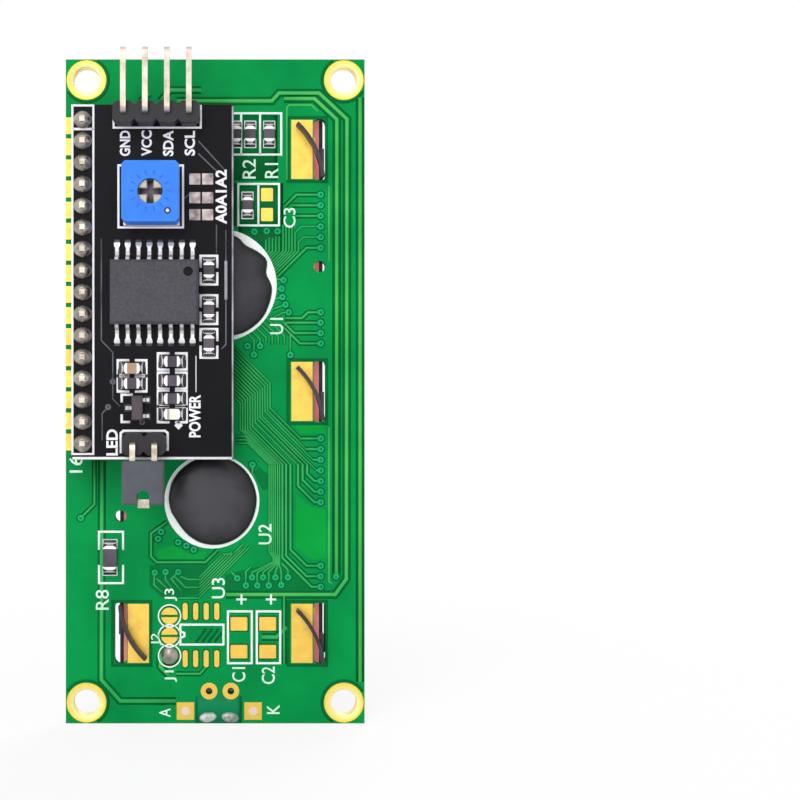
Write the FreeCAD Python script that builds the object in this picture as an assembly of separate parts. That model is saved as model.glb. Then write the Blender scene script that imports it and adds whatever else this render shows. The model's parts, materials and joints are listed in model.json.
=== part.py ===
import FreeCAD, Part
import math
import os

os.makedirs("parts", exist_ok=True)
V = FreeCAD.Vector

# Character display module with a two-wire adapter board on its back.
# It stands upright: Z runs up the long side, towards the four-pin header, and X runs across.
# Y is the depth: electronic parts stand out to -Y from the display board's rear face,
# and the black steel frame with the window stands out to +Y.
# The origin is the centre of the four corner holes, on the display board's rear face.
# All sizes are in millimetres.

# Small holes, pads and solder are many-sided instead of round, which keeps their many copies light
small_sides = 8
ring_sides = 24
end_sides = 6

# Display board
board_width = 36.0
board_height = 80.0
board_thickness = 1.6
copper = 0.05
corner_inset = 2.5
corner_hole_radius = 1.55
corner_ring_radius = 2.4
barrel_wall = 0.1

# Row of pins that joins the two boards
pin_pitch = 2.54
pin_side = 0.64
pin_count = 16
pin_hole_radius = 0.5
row_inset = 2.4
row_drop = 8.0
pin_front_length = 1.2
pin_rear_length = 1.0
solder_base_radius = 0.88
solder_top_radius = 0.5
solder_height = 0.85
edge_pad_reach = 3.05
edge_pad_front_inset = 0.15
edge_pad_corner = 0.6
edge_pad_rear_height = 2.0
edge_pad_front_height = 1.85

# Folded steel frame over the display
sheet = 0.4
frame_width = 24.6
frame_height = 70.8
frame_offset = 0.75
frame_bend_radius = 0.7
frame_corner_notch = 0.8
window_width = 14.0
window_end = 3.15
window_corner_radius = 0.9
bead_outer_width = 1.55
bead_inner_width = 1.0
bead_end = 3.1
bead_gap = 0.475

# Fixing tabs of the frame: each passes its slot on a narrow neck, and its wide head is bent over the board
tab_spacing = 29.15
tab_rise = 1.75
tab_lift = 0.15
tab_neck_width = 3.4
tab_head_radius = 10.0
tab_head_start = 5.0
tab_head_end = 46.5
tab_head_shift = 0.05
tab_head_drop = 3.45
slot_width = 1.5
slot_length = 7.6
slot_play = 0.12
slot_drift = 0.15
tab_pad_width = 2.55
tab_pad_height = 7.1
tab_pad_gap = 0.1
locating_hole_radius = 0.7
locating_hole_height = 15.05

# Display cell, from the front to the back
polarizer_thickness = 0.25
glass_thickness = 1.1
glass_gap = 0.25
polarizer_inset = 0.35
polarizer_end = 0.95

# Contact strips between the glass and the board
strip_width = 2.6
strip_end = 1.7
strip_gap = 0.05
strip_glass_gap = 0.6
strip_tray_gap = 0.9
finger_width = 1.6
finger_pitch = 3.81
finger_height = 0.7

# Backlight under the glass
housing_height = 4.0
housing_end = 1.9
housing_wall = 1.0
housing_floor = 0.6
film_thickness = 0.15
guide_gap = 0.05
lamp_tab_base = 11.0
lamp_tab_end = 4.4
lamp_tab_depth = 2.6
lamp_tab_shoulder = 1.0
lamp_tab_edge_gap = 0.5
lamp_tab_gap = 0.1
lamp_width = 3.4
lamp_length = 1.2
lamp_height = 1.4
lamp_lead_spacing = 2.7
lamp_lead_radius = 0.3
lamp_lead_inset = 0.95
lamp_blob_width = 1.9
lamp_blob_length = 1.2
lamp_blob_height = 0.55
lamp_blob_bevel = 0.35

# Supply pads beside the backlight, and two plated test points above them
supply_pad_side = 2.1
supply_pad_inset = 1.5
supply_pad_spacing = 8.14
supply_pad_offset = 0.49
supply_hole_radius = 0.5
test_pad_radius = 1.0
test_hole_radius = 0.4
test_pad_inset = 3.9
test_pad_places = [-0.73, 1.89]

# Driver chips under black resin, poured by hand, so the drops are not quite round: x, z, radius
driver_one = (0.65, 12.8, 6.2)
driver_two = (-0.4, -13.2, 5.3)
driver_height = 1.4
driver_unevenness = 0.12
drop_sides = 24
drop_steps = 4

# Small parts: body length, width, height and end cap length
chip_0805 = (2.0, 1.25, 0.55, 0.45)
chip_1206 = (3.1, 1.6, 0.6, 0.5)
solder_foot = 0.55
chip_pad_margin = 0.1
resistor_row_drop = 9.04
resistor_row = [6.51, 4.22, 2.53]
third_chip = (3.89, 22.41)
lamp_resistor = (-12.67, -20.0)
spare_pad_size = (1.44, 1.6)
spare_pads = [(6.24, 23.7), (6.24, 21.3)]
spare_part_columns = [2.86, 6.32]
spare_part_pad = (2.06, 1.65)
spare_part_rows = [12.0, 8.65]
spare_chip_pad = (0.72, 2.1)
spare_chip_columns = [-3.62, -2.35, -1.08, 0.19]
spare_chip_rows = [13.5, 7.8]
link_column = -5.5
link_rows = [12.95, 10.55, 8.15]
link_radius = 1.0
link_split = 0.3
link_blob_height = 0.45

# Adapter board
adapter_width = 19.1
adapter_height = 41.8
adapter_thickness = 1.6
adapter_edge = 1.33
adapter_top = 1.78
spacer_height = 2.5
spacer_width = 2.5

# Bent pin headers on the adapter
header_block = 2.54
header_notch = 0.45
header_bend = 0.25
header_pin_lift = 0.5
header_pin_tip = 0.3
under_length = 0.8
bus_pins = 4
bus_offset = 8.8
bus_inset = 1.28
bus_reach = 7.33
link_pins = 2
link_offset = 7.35
link_inset = 1.86
link_reach = 4.9

# Removable jumper cap on the two-pin header
cap_width = 4.85
cap_depth = 2.5
cap_length = 5.05
cap_gap = 0.6
cap_edge = 0.2
cap_bore = 1.3
cap_bore_length = 3.75
cap_notch_width = 1.45
cap_notch_length = 1.7
clip_gap = 0.05
clip_wall = 0.22
clip_recess = 0.25
clip_strip = 0.25
clip_bar_width = 1.35
clip_bar_length = 1.0
clip_bar_reach = 0.45

# Contrast trimmer
trimmer_width = 6.6
trimmer_height = 7.0
trimmer_rise = 4.8
trimmer_corner = 0.4
trimmer_base_thickness = 0.8
trimmer_place = (9.46, 10.8)
rotor_radius = 1.4
rotor_flange_radius = 2.4
rotor_flange_thickness = 0.9
rotor_recess = 0.35
rotor_gap = 0.05
rotor_slot_width = 0.55
rotor_slot_length = 2.3
rotor_slot_depth = 0.7
trimmer_lead_radius = 0.25
trimmer_lead_places = [(-2.54, -1.3), (0.0, 2.54), (2.54, -1.3)]

# Expander chip on the adapter
expander_place = (9.83, 22.18)
expander_length = 10.3
expander_width = 7.5
expander_rise = 2.3
expander_lift = 0.15
expander_bevel = 0.3
expander_dimple_radius = 0.55
expander_dimple_depth = 0.1
expander_dimple_inset = (1.2, 1.4)
expander_leg_pairs = 8
lead_pitch = 1.27
lead_width = 0.42
lead_thickness = 0.25
lead_reach = 1.5
lead_exit = 0.9
lead_shoulder = 0.35
lead_knee = 0.7
lead_pad = (0.62, 2.3)
lead_pad_gap = 0.2

# Small parts on the adapter, each from its left and top edges
adapter_column = 16.19
adapter_column_rows = [19.51, 24.16, 28.13]
left_cluster = 7.13
left_rows = [31.07, 32.84]
right_cluster = 11.88
right_rows = [30.26, 32.52, 34.63]
power_lamp_row = 36.46
power_lamp_bevel = 0.3
transistor_place = (7.78, 35.73)
transistor_body = (1.3, 2.9, 1.0)
transistor_bevel = 0.15
transistor_lead_width = 0.42
transistor_lead_thickness = 0.15
transistor_lead_reach = 0.75
transistor_lead_shoulder = 0.25
transistor_lead_knee = 0.4
transistor_lead_exit = 0.45
transistor_lead_pitch = 1.9
transistor_pad_gap = 0.15
address_pad = (1.3, 1.3)
address_columns = [14.53, 16.04]
address_rows = [8.78, 10.98, 12.98]

# Places that follow from the sizes above
left_edge = -board_width / 2
top_edge = board_height / 2
bottom_edge = -board_height / 2
rear = 0.0
front = board_thickness
rear_copper = rear - copper
front_copper = front + copper
row_x = left_edge + row_inset
pin_z = [top_edge - row_drop - i * pin_pitch for i in range(pin_count)]
row_mid_z = (pin_z[0] + pin_z[-1]) / 2
corners = [(sx * (board_width / 2 - corner_inset), sz * (board_height / 2 - corner_inset))
           for sx in (-1, 1) for sz in (-1, 1)]

adapter_left = row_x - adapter_edge
adapter_top_z = pin_z[0] + adapter_top
adapter_bottom_z = adapter_top_z - adapter_height
adapter_front = rear_copper - spacer_height
adapter_rear = adapter_front - adapter_thickness
adapter_copper = adapter_rear - copper

wall_offset = frame_width / 2 - sheet / 2
wall_inner = frame_width / 2 - sheet
slot_offset = wall_offset - slot_play
slot_middle = frame_offset - slot_drift
strip_offset = wall_inner - strip_gap - strip_width / 2
housing_front = front + housing_height
rear_glass_back = housing_front + polarizer_thickness
front_glass_back = rear_glass_back + glass_thickness
front_glass_front = front_glass_back + glass_thickness
frame_inside = front_glass_front + polarizer_thickness
frame_front = frame_inside + sheet
inner_height = frame_height - 2 * sheet
strip_inner = strip_offset - strip_width / 2
strip_length = inner_height - 2 * strip_end
housing_width = 2 * (strip_inner - strip_tray_gap)
housing_length = inner_height - 2 * housing_end
glass_width = 2 * (wall_inner - glass_gap)
glass_height = inner_height - 2 * glass_gap
rear_glass_width = 2 * (strip_inner - strip_glass_gap)
front_polarizer_height = glass_height - 2 * polarizer_end
window_height = frame_height - 2 * window_end
bead_length = frame_height - 2 * bead_end
bead_offset = rear_glass_width / 2 + bead_gap + bead_outer_width / 2

parts = {}


def block(x, z, width, height, y_from, y_to):
    """Box centred on x and z, between two depths."""
    low = min(y_from, y_to)
    corner = V(x - width / 2, low, z - height / 2)
    return Part.makeBox(width, abs(y_to - y_from), height, corner)


def rod(x, z, radius, y_from, y_to):
    """Round bar along the depth."""
    return Part.makeCylinder(radius, abs(y_to - y_from), V(x, min(y_from, y_to), z), V(0, 1, 0))


def flat_face(corners):
    """Flat face with these corners."""
    return Part.Face(Part.makePolygon(corners + corners[:1]))


def plate(points, y_from, y_to):
    """Solid between two depths whose outline runs through points given as x and z."""
    return flat_face([V(x, y_from, z) for x, z in points]).extrude(V(0, y_to - y_from, 0))


def taper(points_from, points_to, y_from, y_to):
    """Solid whose outline changes between two depths, with flat sides from corner to corner."""
    low = [V(x, y_from, z) for x, z in points_from]
    high = [V(x, y_to, z) for x, z in points_to]
    faces = [flat_face(low), flat_face(high)]
    for i in range(len(low)):
        faces.append(flat_face([low[i - 1], low[i], high[i], high[i - 1]]))
    solid = Part.makeSolid(Part.makeShell(faces))
    solid.fix(1e-6, 1e-6, 1e-6)
    return solid


def ring_points(x, z, radius, sides):
    """Corners of a many-sided ring whose flats touch the circle of that radius."""
    corner_radius = radius / math.cos(math.pi / sides)
    turns = [2 * math.pi * (i + 0.5) / sides for i in range(sides)]
    return [(x + corner_radius * math.cos(turn), z + corner_radius * math.sin(turn)) for turn in turns]


def drill(x, z, radius, y_from, y_to, sides=small_sides):
    """Many-sided hole, pad or lead along the depth."""
    return plate(ring_points(x, z, radius, sides), y_from, y_to)


def pin_solder(x, z, y_base, side, bar):
    """Solder that tapers up round one pin; side is the way that it narrows."""
    base = ring_points(x, z, solder_base_radius, small_sides)
    top = ring_points(x, z, solder_top_radius, small_sides)
    return taper(base, top, y_base, y_base + side * solder_height).cut(bar)


def long_hole(x, z, width, length):
    """Corners of an upright slot with round ends."""
    half = (length - width) / 2
    corners = []
    for i in range(end_sides + 1):
        turn = math.pi * i / end_sides
        corners.append((x + width / 2 * math.cos(turn), z + half + width / 2 * math.sin(turn)))
    return corners + [(2 * x - a, 2 * z - b) for a, b in corners]


def profile(points, along, start, width):
    """Outline in the plane of the depth and one board direction, pushed across the other."""
    if along == "z":
        corner = [V(start, y, a) for a, y in points]
        push = V(width, 0, 0)
    else:
        corner = [V(a, y, start) for a, y in points]
        push = V(0, 0, width)
    return flat_face(corner).extrude(push)


def along_depth(shape):
    """Edges of a shape that run along the depth."""
    found = []
    for edge in shape.Edges:
        run = edge.Vertexes[-1].Point - edge.Vertexes[0].Point
        if abs(run.x) < 1e-6 and abs(run.z) < 1e-6 and abs(run.y) > 1e-6:
            found.append(edge)
    return found


def on_depth(shape, y):
    """Edges of a shape that lie wholly at one depth."""
    return [edge for edge in shape.Edges
            if abs(edge.BoundBox.YMin - y) < 1e-6 and abs(edge.BoundBox.YMax - y) < 1e-6]


def chip(x, z, along, size, seat):
    """Small part on two pads: its body, its two soldered ends and its two pads.
    It stands out to -Y from the board face at the depth seat."""
    length, width, height, cap = size
    mid = z if along == "z" else x
    across = (x if along == "z" else z) - width / 2
    foot = seat - copper
    top = foot - height
    body_end = length / 2 - cap
    body = profile([(mid - body_end, foot), (mid - body_end, top), (mid + body_end, top),
                    (mid + body_end, foot)], along, across, width)
    ends = []
    pads = []
    for side in (-1, 1):
        inner, outer = mid + side * body_end, mid + side * length / 2
        ends.append(profile([(inner, foot), (inner, top), (outer, top), (outer, foot - height / 3),
                             (outer + side * solder_foot, foot)], along, across, width))
        pad_end = outer + side * (solder_foot + chip_pad_margin)
        pads.append(profile([(inner, seat), (pad_end, seat), (pad_end, foot), (inner, foot)], along,
                            across - chip_pad_margin, width + 2 * chip_pad_margin))
    return body, ends, pads


def display_board():
    """Green board with every hole that something passes through."""
    board = block(0, 0, board_width, board_height, rear, front)
    holes = [drill(x, z, corner_hole_radius + barrel_wall, rear, front, ring_sides) for x, z in corners]
    holes += [drill(row_x, z, pin_hole_radius, rear, front) for z in pin_z]
    for side in (-1, 1):
        slot_x = slot_middle + side * slot_offset
        for z in (-tab_spacing, 0, tab_spacing):
            holes.append(plate(long_hole(slot_x, z, slot_width, slot_length), rear, front))
        peg_z = side * locating_hole_height
        holes.append(drill(slot_x, peg_z, locating_hole_radius, rear, front, ring_sides))
    for x in supply_x:
        holes.append(drill(x, supply_z, supply_hole_radius, rear, front))
    for x in test_pad_places:
        holes.append(drill(x, test_z, test_hole_radius, rear, front))
    for x in lamp_lead_x:
        holes.append(drill(x, lamp_lead_z, lamp_lead_radius + guide_gap, rear, front))
    parts["lcd_board"] = [board.cut(holes)]


def corner_plating():
    """Gold ring on both faces and barrel through each corner hole, one piece of copper each."""
    eyelets = []
    for x, z in corners:
        barrel = drill(x, z, corner_hole_radius + barrel_wall, rear_copper, front_copper, ring_sides)
        eyelet = barrel.fuse([drill(x, z, corner_ring_radius, rear, rear_copper, ring_sides),
                              drill(x, z, corner_ring_radius, front, front_copper, ring_sides)])
        eyelets.append(eyelet.cut(rod(x, z, corner_hole_radius, rear_copper, front_copper)))
    parts["corner_hole_plating"] = eyelets


def board_pads():
    """Pads of the pin row, of the fixing tabs and of the places that are left empty."""
    rear_pads = []
    front_pads = []
    for z in pin_z:
        pin = block(row_x, z, pin_side, pin_side, rear_copper, front_copper)
        pad_x = left_edge + edge_pad_reach / 2
        rear_pads.append(block(pad_x, z, edge_pad_reach, edge_pad_rear_height, rear, rear_copper).cut(pin))
        start, end = left_edge + edge_pad_front_inset, left_edge + edge_pad_reach
        half, cut = edge_pad_front_height / 2, edge_pad_corner
        outline = [(start, z - half), (end - cut, z - half), (end, z - half + cut), (end, z + half - cut),
                   (end - cut, z + half), (start, z + half)]
        front_pads.append(plate(outline, front, front_copper).cut(pin))
    parts["rear_edge_pads"] = rear_pads
    parts["front_edge_pads"] = front_pads

    tab_pads = []
    for side in (-1, 1):
        pad_x = slot_middle + side * (slot_offset - slot_width / 2 - tab_pad_gap - tab_pad_width / 2)
        for z in (-tab_spacing, 0, tab_spacing):
            tab_pads.append(block(pad_x, z, tab_pad_width, tab_pad_height, rear, rear_copper))
    parts["tab_pads"] = tab_pads

    bare = [block(x, z, spare_pad_size[0], spare_pad_size[1], rear, rear_copper) for x, z in spare_pads]
    for x in spare_part_columns:
        for drop in spare_part_rows:
            bare.append(block(x, bottom_edge + drop, spare_part_pad[0], spare_part_pad[1], rear, rear_copper))
    for x in spare_chip_columns:
        for drop in spare_chip_rows:
            bare.append(block(x, bottom_edge + drop, spare_chip_pad[0], spare_chip_pad[1], rear, rear_copper))
    parts["spare_part_pads"] = bare

    links = []
    for drop in link_rows:
        z = bottom_edge + drop
        disc = drill(link_column, z, link_radius, rear, rear_copper, ring_sides)
        links += disc.cut(block(link_column, z, 3 * link_radius, link_split, rear, rear_copper)).Solids
    parts["link_pads"] = links
    blob_z = bottom_edge + link_rows[-1]
    parts["link_solder"] = [dome(link_column, blob_z, link_radius, link_blob_height, rear_copper)]

    plated = []
    for x in supply_x:
        for seat, face in ((rear, rear_copper), (front, front_copper)):
            pad = block(x, supply_z, supply_pad_side, supply_pad_side, seat, face)
            plated.append(pad.cut(drill(x, supply_z, supply_hole_radius, seat, face)))
    for x in test_pad_places:
        pad = drill(x, test_z, test_pad_radius, rear, rear_copper, ring_sides)
        plated.append(pad.cut(drill(x, test_z, test_hole_radius, rear, rear_copper)))
    parts["supply_pads"] = plated
    parts["supply_solder"] = [drill(x, supply_z, supply_hole_radius, rear_copper, front_copper)
                              for x in supply_x]


def dome(x, z, radius, height, y_base):
    """Rounded drop that stands out to -Y from y_base."""
    ball = (radius ** 2 + height ** 2) / (2 * height)
    sphere = Part.makeSphere(ball, V(x, y_base - height + ball, z))
    return sphere.common(block(x, z, 2 * radius, 2 * radius, y_base, y_base - height))


def resin_drop(x, z, radius):
    """Low poured drop: rings that shrink along a quarter circle, each a little out of round."""
    rings = []
    for step in range(drop_steps + 1):
        climb = math.radians(80) * step / drop_steps
        ring = []
        for i in range(drop_sides):
            turn = 2 * math.pi * i / drop_sides
            reach = math.cos(climb) * (radius + driver_unevenness * math.sin(3 * turn))
            ring.append((x + reach * math.cos(turn), z + reach * math.sin(turn)))
        rings.append((ring, rear - driver_height * math.sin(climb)))
    layers = [taper(low, high, y_low, y_high) for (low, y_low), (high, y_high) in zip(rings, rings[1:])]
    return layers[0].fuse(layers[1:])


def steel_frame():
    """Frame folded from one sheet: window, two pressed beads and six tabs bent over behind the board."""
    shell = block(frame_offset, 0, frame_width, frame_height, front, frame_front)
    shell = shell.makeFillet(frame_bend_radius, on_depth(shell, frame_front))
    hollow = block(frame_offset, 0, 2 * wall_inner, inner_height, front, frame_inside)
    shell = shell.cut(hollow)
    cuts = []
    for sx in (-1, 1):
        for sz in (-1, 1):
            cuts.append(block(frame_offset + sx * frame_width / 2, sz * frame_height / 2,
                              2 * frame_corner_notch, 2 * frame_corner_notch, front, frame_front))
    window = block(frame_offset, 0, window_width, window_height, frame_inside, frame_front)
    cuts.append(window.makeFillet(window_corner_radius, along_depth(window)))
    lamp_gap = lamp_tab_base + 2 * lamp_tab_gap
    lamp_gap_top = front + lamp_tab_depth + lamp_tab_gap
    cuts.append(block(frame_offset, -frame_height / 2, lamp_gap, 3 * sheet, front, lamp_gap_top))
    for side in (-1, 1):
        bead_x = frame_offset + side * bead_offset
        inner_length = bead_length - bead_outer_width + bead_inner_width
        wide = long_hole(bead_x, 0, bead_outer_width, bead_length)
        narrow = long_hole(bead_x, 0, bead_inner_width, inner_length)
        shell = shell.fuse(taper(wide, narrow, frame_inside, frame_inside - polarizer_thickness))
        cuts.append(taper(wide, narrow, frame_front, frame_front - polarizer_thickness))
    shell = shell.cut(cuts)
    for side in (-1, 1):
        wall_x = frame_offset + side * wall_offset
        for z in (-tab_spacing, 0, tab_spacing):
            shell = shell.fuse(fixing_tab(wall_x, z, side))
    parts["display_frame"] = [shell.removeSplitter()]


def fixing_tab(x, z, side):
    """Neck through the slot, and the head that stands behind the board in a long curve over its gold pad.
    The tabs of the two sides are the same shape turned half round."""
    neck_z = z - side * (tab_head_drop - tab_neck_width / 2)
    neck = block(x, neck_z, sheet, tab_neck_width, rear - tab_rise / 2, front)
    start, end = math.radians(tab_head_start), math.radians(tab_head_end)
    middle = (start + end) / 2
    centre_x = tab_head_shift - tab_head_radius * math.cos(start)
    centre_z = -tab_head_drop - tab_head_radius * math.sin(start)

    def on_curve(radius, angle):
        return V(x + side * (centre_x + radius * math.cos(angle)), rear - tab_lift,
                 z + side * (centre_z + radius * math.sin(angle)))

    inner, outer = tab_head_radius - sheet / 2, tab_head_radius + sheet / 2
    a, b, c = [on_curve(outer, angle) for angle in (start, middle, end)]
    d, e, f = [on_curve(inner, angle) for angle in (end, middle, start)]
    sides = [Part.Arc(a, b, c), Part.LineSegment(c, d), Part.Arc(d, e, f), Part.LineSegment(f, a)]
    outline = Part.Wire([edge.toShape() for edge in sides])
    head = Part.Face(outline).extrude(V(0, tab_lift - tab_rise, 0))
    return neck.fuse(head)


def display_cell():
    """Two glass plates with a polarizer on each outer face, pressed on two striped rubber strips."""
    parts["front_polarizer"] = [block(frame_offset, 0, rear_glass_width, front_polarizer_height,
                                      front_glass_front, frame_inside)]
    parts["front_glass"] = [block(frame_offset, 0, glass_width, glass_height,
                                  front_glass_back, front_glass_front)]
    parts["rear_glass"] = [block(frame_offset, 0, rear_glass_width, glass_height,
                                 rear_glass_back, front_glass_back)]
    parts["rear_polarizer"] = [block(frame_offset, 0, housing_width - 2 * polarizer_inset,
                                     housing_length - 2 * polarizer_inset, housing_front, rear_glass_back)]
    fingers = []
    finger_count = int(strip_length / finger_pitch)
    for side, name in ((-1, "left"), (1, "right")):
        x = frame_offset + side * strip_offset
        strip = block(x, 0, strip_width, strip_length, front_copper, front_glass_back)
        parts["contact_strip_" + name] = [strip]
        for i in range(finger_count):
            z = (i - (finger_count - 1) / 2) * finger_pitch
            fingers.append(block(x, z, finger_width, finger_height, front, front_copper))
    parts["contact_fingers"] = fingers


def backlight():
    """White moulded tray with its lamp nose, the light guide and the films in it."""
    tray = block(frame_offset, 0, housing_width, housing_length, front, housing_front)
    floor_y = front + housing_floor
    inner_width = housing_width - 2 * housing_wall
    inner_length = housing_length - 2 * housing_wall
    nose_start = -housing_length / 2
    nose_end = bottom_edge + lamp_tab_edge_gap
    shoulder = -frame_height / 2 - lamp_tab_shoulder
    outline = [(-lamp_tab_base / 2, nose_start), (-lamp_tab_base / 2, shoulder),
               (-lamp_tab_end / 2, nose_end),
               (lamp_tab_end / 2, nose_end), (lamp_tab_base / 2, shoulder), (lamp_tab_base / 2, nose_start)]
    outline = [(frame_offset + a, b) for a, b in outline]
    nose = plate(outline, front_copper, front + lamp_tab_depth)
    tray = tray.fuse(nose).removeSplitter()
    tray = tray.cut(block(frame_offset, 0, inner_width, inner_length, floor_y, housing_front))
    lamp_z = nose_start - lamp_length / 2
    pocket = block(frame_offset, lamp_z + housing_wall / 2, lamp_width, lamp_length + housing_wall,
                   floor_y, floor_y + lamp_height)
    tray = tray.cut(pocket)
    lead_holes = [drill(x, lamp_lead_z, lamp_lead_radius, front_copper, floor_y) for x in lamp_lead_x]
    parts["backlight_tray"] = [tray.cut(lead_holes)]

    film_width = inner_width - 2 * guide_gap
    film_length = inner_length - 2 * guide_gap
    guide_back = floor_y + film_thickness
    guide_front = housing_front - film_thickness
    parts["reflector_film"] = [block(frame_offset, 0, film_width, film_length, floor_y, guide_back)]
    parts["light_guide"] = [block(frame_offset, 0, film_width, film_length, guide_back, guide_front)]
    parts["diffuser_film"] = [block(frame_offset, 0, film_width, film_length, guide_front, housing_front)]
    parts["backlight_lamp"] = [block(frame_offset, lamp_z, lamp_width, lamp_length,
                                     floor_y, floor_y + lamp_height)]
    parts["lamp_leads"] = [drill(x, lamp_lead_z, lamp_lead_radius, rear_copper, floor_y) for x in lamp_lead_x]
    blobs = []
    for x in lamp_lead_x:
        blob = block(x, lamp_lead_z, lamp_blob_width, lamp_blob_length, rear, rear - lamp_blob_height)
        blob = blob.makeChamfer(lamp_blob_bevel, on_depth(blob, rear - lamp_blob_height))
        blobs.append(blob.cut(drill(x, lamp_lead_z, lamp_lead_radius, rear, rear_copper)))
    parts["lamp_solder"] = blobs


def board_parts():
    """Resin drops over the driver chips, and the soldered small parts of the display board."""
    for name, (x, z, radius) in (("driver_resin_upper", driver_one), ("driver_resin_lower", driver_two)):
        parts[name] = [resin_drop(x, z, radius)]
    bodies = []
    ends = []
    pads = []
    places = [(x, top_edge - resistor_row_drop) for x in resistor_row] + [third_chip]
    for x, z in places:
        body, caps, feet = chip(x, z, "z", chip_0805, rear)
        bodies.append(body)
        ends += caps
        pads += feet
    parts["board_resistor_bodies"] = bodies
    parts["board_resistor_ends"] = ends
    body, caps, feet = chip(lamp_resistor[0], lamp_resistor[1], "z", chip_1206, rear)
    parts["lamp_resistor_body"] = [body]
    parts["lamp_resistor_ends"] = caps
    parts["board_part_pads"] = pads + feet


def main_row():
    """Sixteen straight pins through both boards, their spacer and their solder."""
    tip = front + pin_front_length
    tail = adapter_rear - pin_rear_length
    pins = [block(row_x, z, pin_side, pin_side, tail, tip) for z in pin_z]
    spacer_length = pin_count * pin_pitch
    spacer = block(row_x, row_mid_z, spacer_width, spacer_length, rear_copper, adapter_front)
    parts["row_pins"] = pins
    parts["row_spacer"] = [spacer.cut(pins)]
    parts["row_solder_front"] = [pin_solder(row_x, z, front_copper, 1, pin) for z, pin in zip(pin_z, pins)]
    parts["row_solder_rear"] = [pin_solder(row_x, z, adapter_rear, -1, pin) for z, pin in zip(pin_z, pins)]


def adapter_x(from_left):
    return adapter_left + from_left


def adapter_z(from_top):
    return adapter_top_z - from_top


def bent_pin(x, z, way, reach):
    """Square pin that comes up through the block and bends over; way is 1 upwards and -1 downwards."""
    half = pin_side / 2
    level = adapter_rear - header_block - header_pin_lift
    outer = header_bend + pin_side
    low = adapter_front + under_length
    bend_z = half + header_bend
    bend_y = level + half + header_bend
    turn = math.sqrt(0.5)

    def at(a, y):
        return V(x - half, y, z + way * a)

    a1, a2 = at(-half, low), at(-half, bend_y)
    a3, a4 = at(bend_z, level - half), at(reach - header_pin_tip, level - half)
    a5, a6 = at(reach, level - half / 2), at(reach, level + half / 2)
    a7, a8 = at(reach - header_pin_tip, level + half), at(bend_z, level + half)
    a9, a10 = at(half, bend_y), at(half, low)
    outer_mid = at(bend_z - outer * turn, bend_y - outer * turn)
    inner_mid = at(bend_z - header_bend * turn, bend_y - header_bend * turn)
    sides = [Part.LineSegment(a1, a2), Part.Arc(a2, outer_mid, a3), Part.LineSegment(a3, a4),
             Part.LineSegment(a4, a5), Part.LineSegment(a5, a6), Part.LineSegment(a6, a7),
             Part.LineSegment(a7, a8), Part.Arc(a8, inner_mid, a9), Part.LineSegment(a9, a10),
             Part.LineSegment(a10, a1)]
    return Part.Face(Part.Wire([side.toShape() for side in sides])).extrude(V(pin_side, 0, 0))


def header_housing(x, z, count, pins):
    """Black block of a pin header: a row of eight-sided cells in one moulding."""
    half = header_block / 2
    cells = []
    for i in range(count):
        cell_x = x + (i - (count - 1) / 2) * pin_pitch
        outline = [(-half, -half + header_notch), (-half + header_notch, -half), (half - header_notch, -half),
                   (half, -half + header_notch), (half, half - header_notch), (half - header_notch, half),
                   (-half + header_notch, half), (-half, half - header_notch)]
        outline = [(cell_x + a, z + b) for a, b in outline]
        cells.append(plate(outline, adapter_rear, adapter_rear - header_block))
    housing = cells[0].fuse(cells[1:]).removeSplitter()
    return housing.cut(pins)


def pin_places(x, count):
    return [x + (i - (count - 1) / 2) * pin_pitch for i in range(count)]


def headers():
    """Four-pin bus header and two-pin lamp header, with their solder under the board."""
    bus_pins_solid = [bent_pin(x, bus_z, 1, bus_reach) for x in pin_places(bus_x, bus_pins)]
    link_pins_solid = [bent_pin(x, link_z, -1, link_reach) for x in pin_places(link_x, link_pins)]
    parts["bus_header_pins"] = bus_pins_solid
    parts["bus_header_housing"] = [header_housing(bus_x, bus_z, bus_pins, bus_pins_solid)]
    parts["lamp_header_pins"] = link_pins_solid
    parts["lamp_header_housing"] = [header_housing(link_x, link_z, link_pins, link_pins_solid)]


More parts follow.
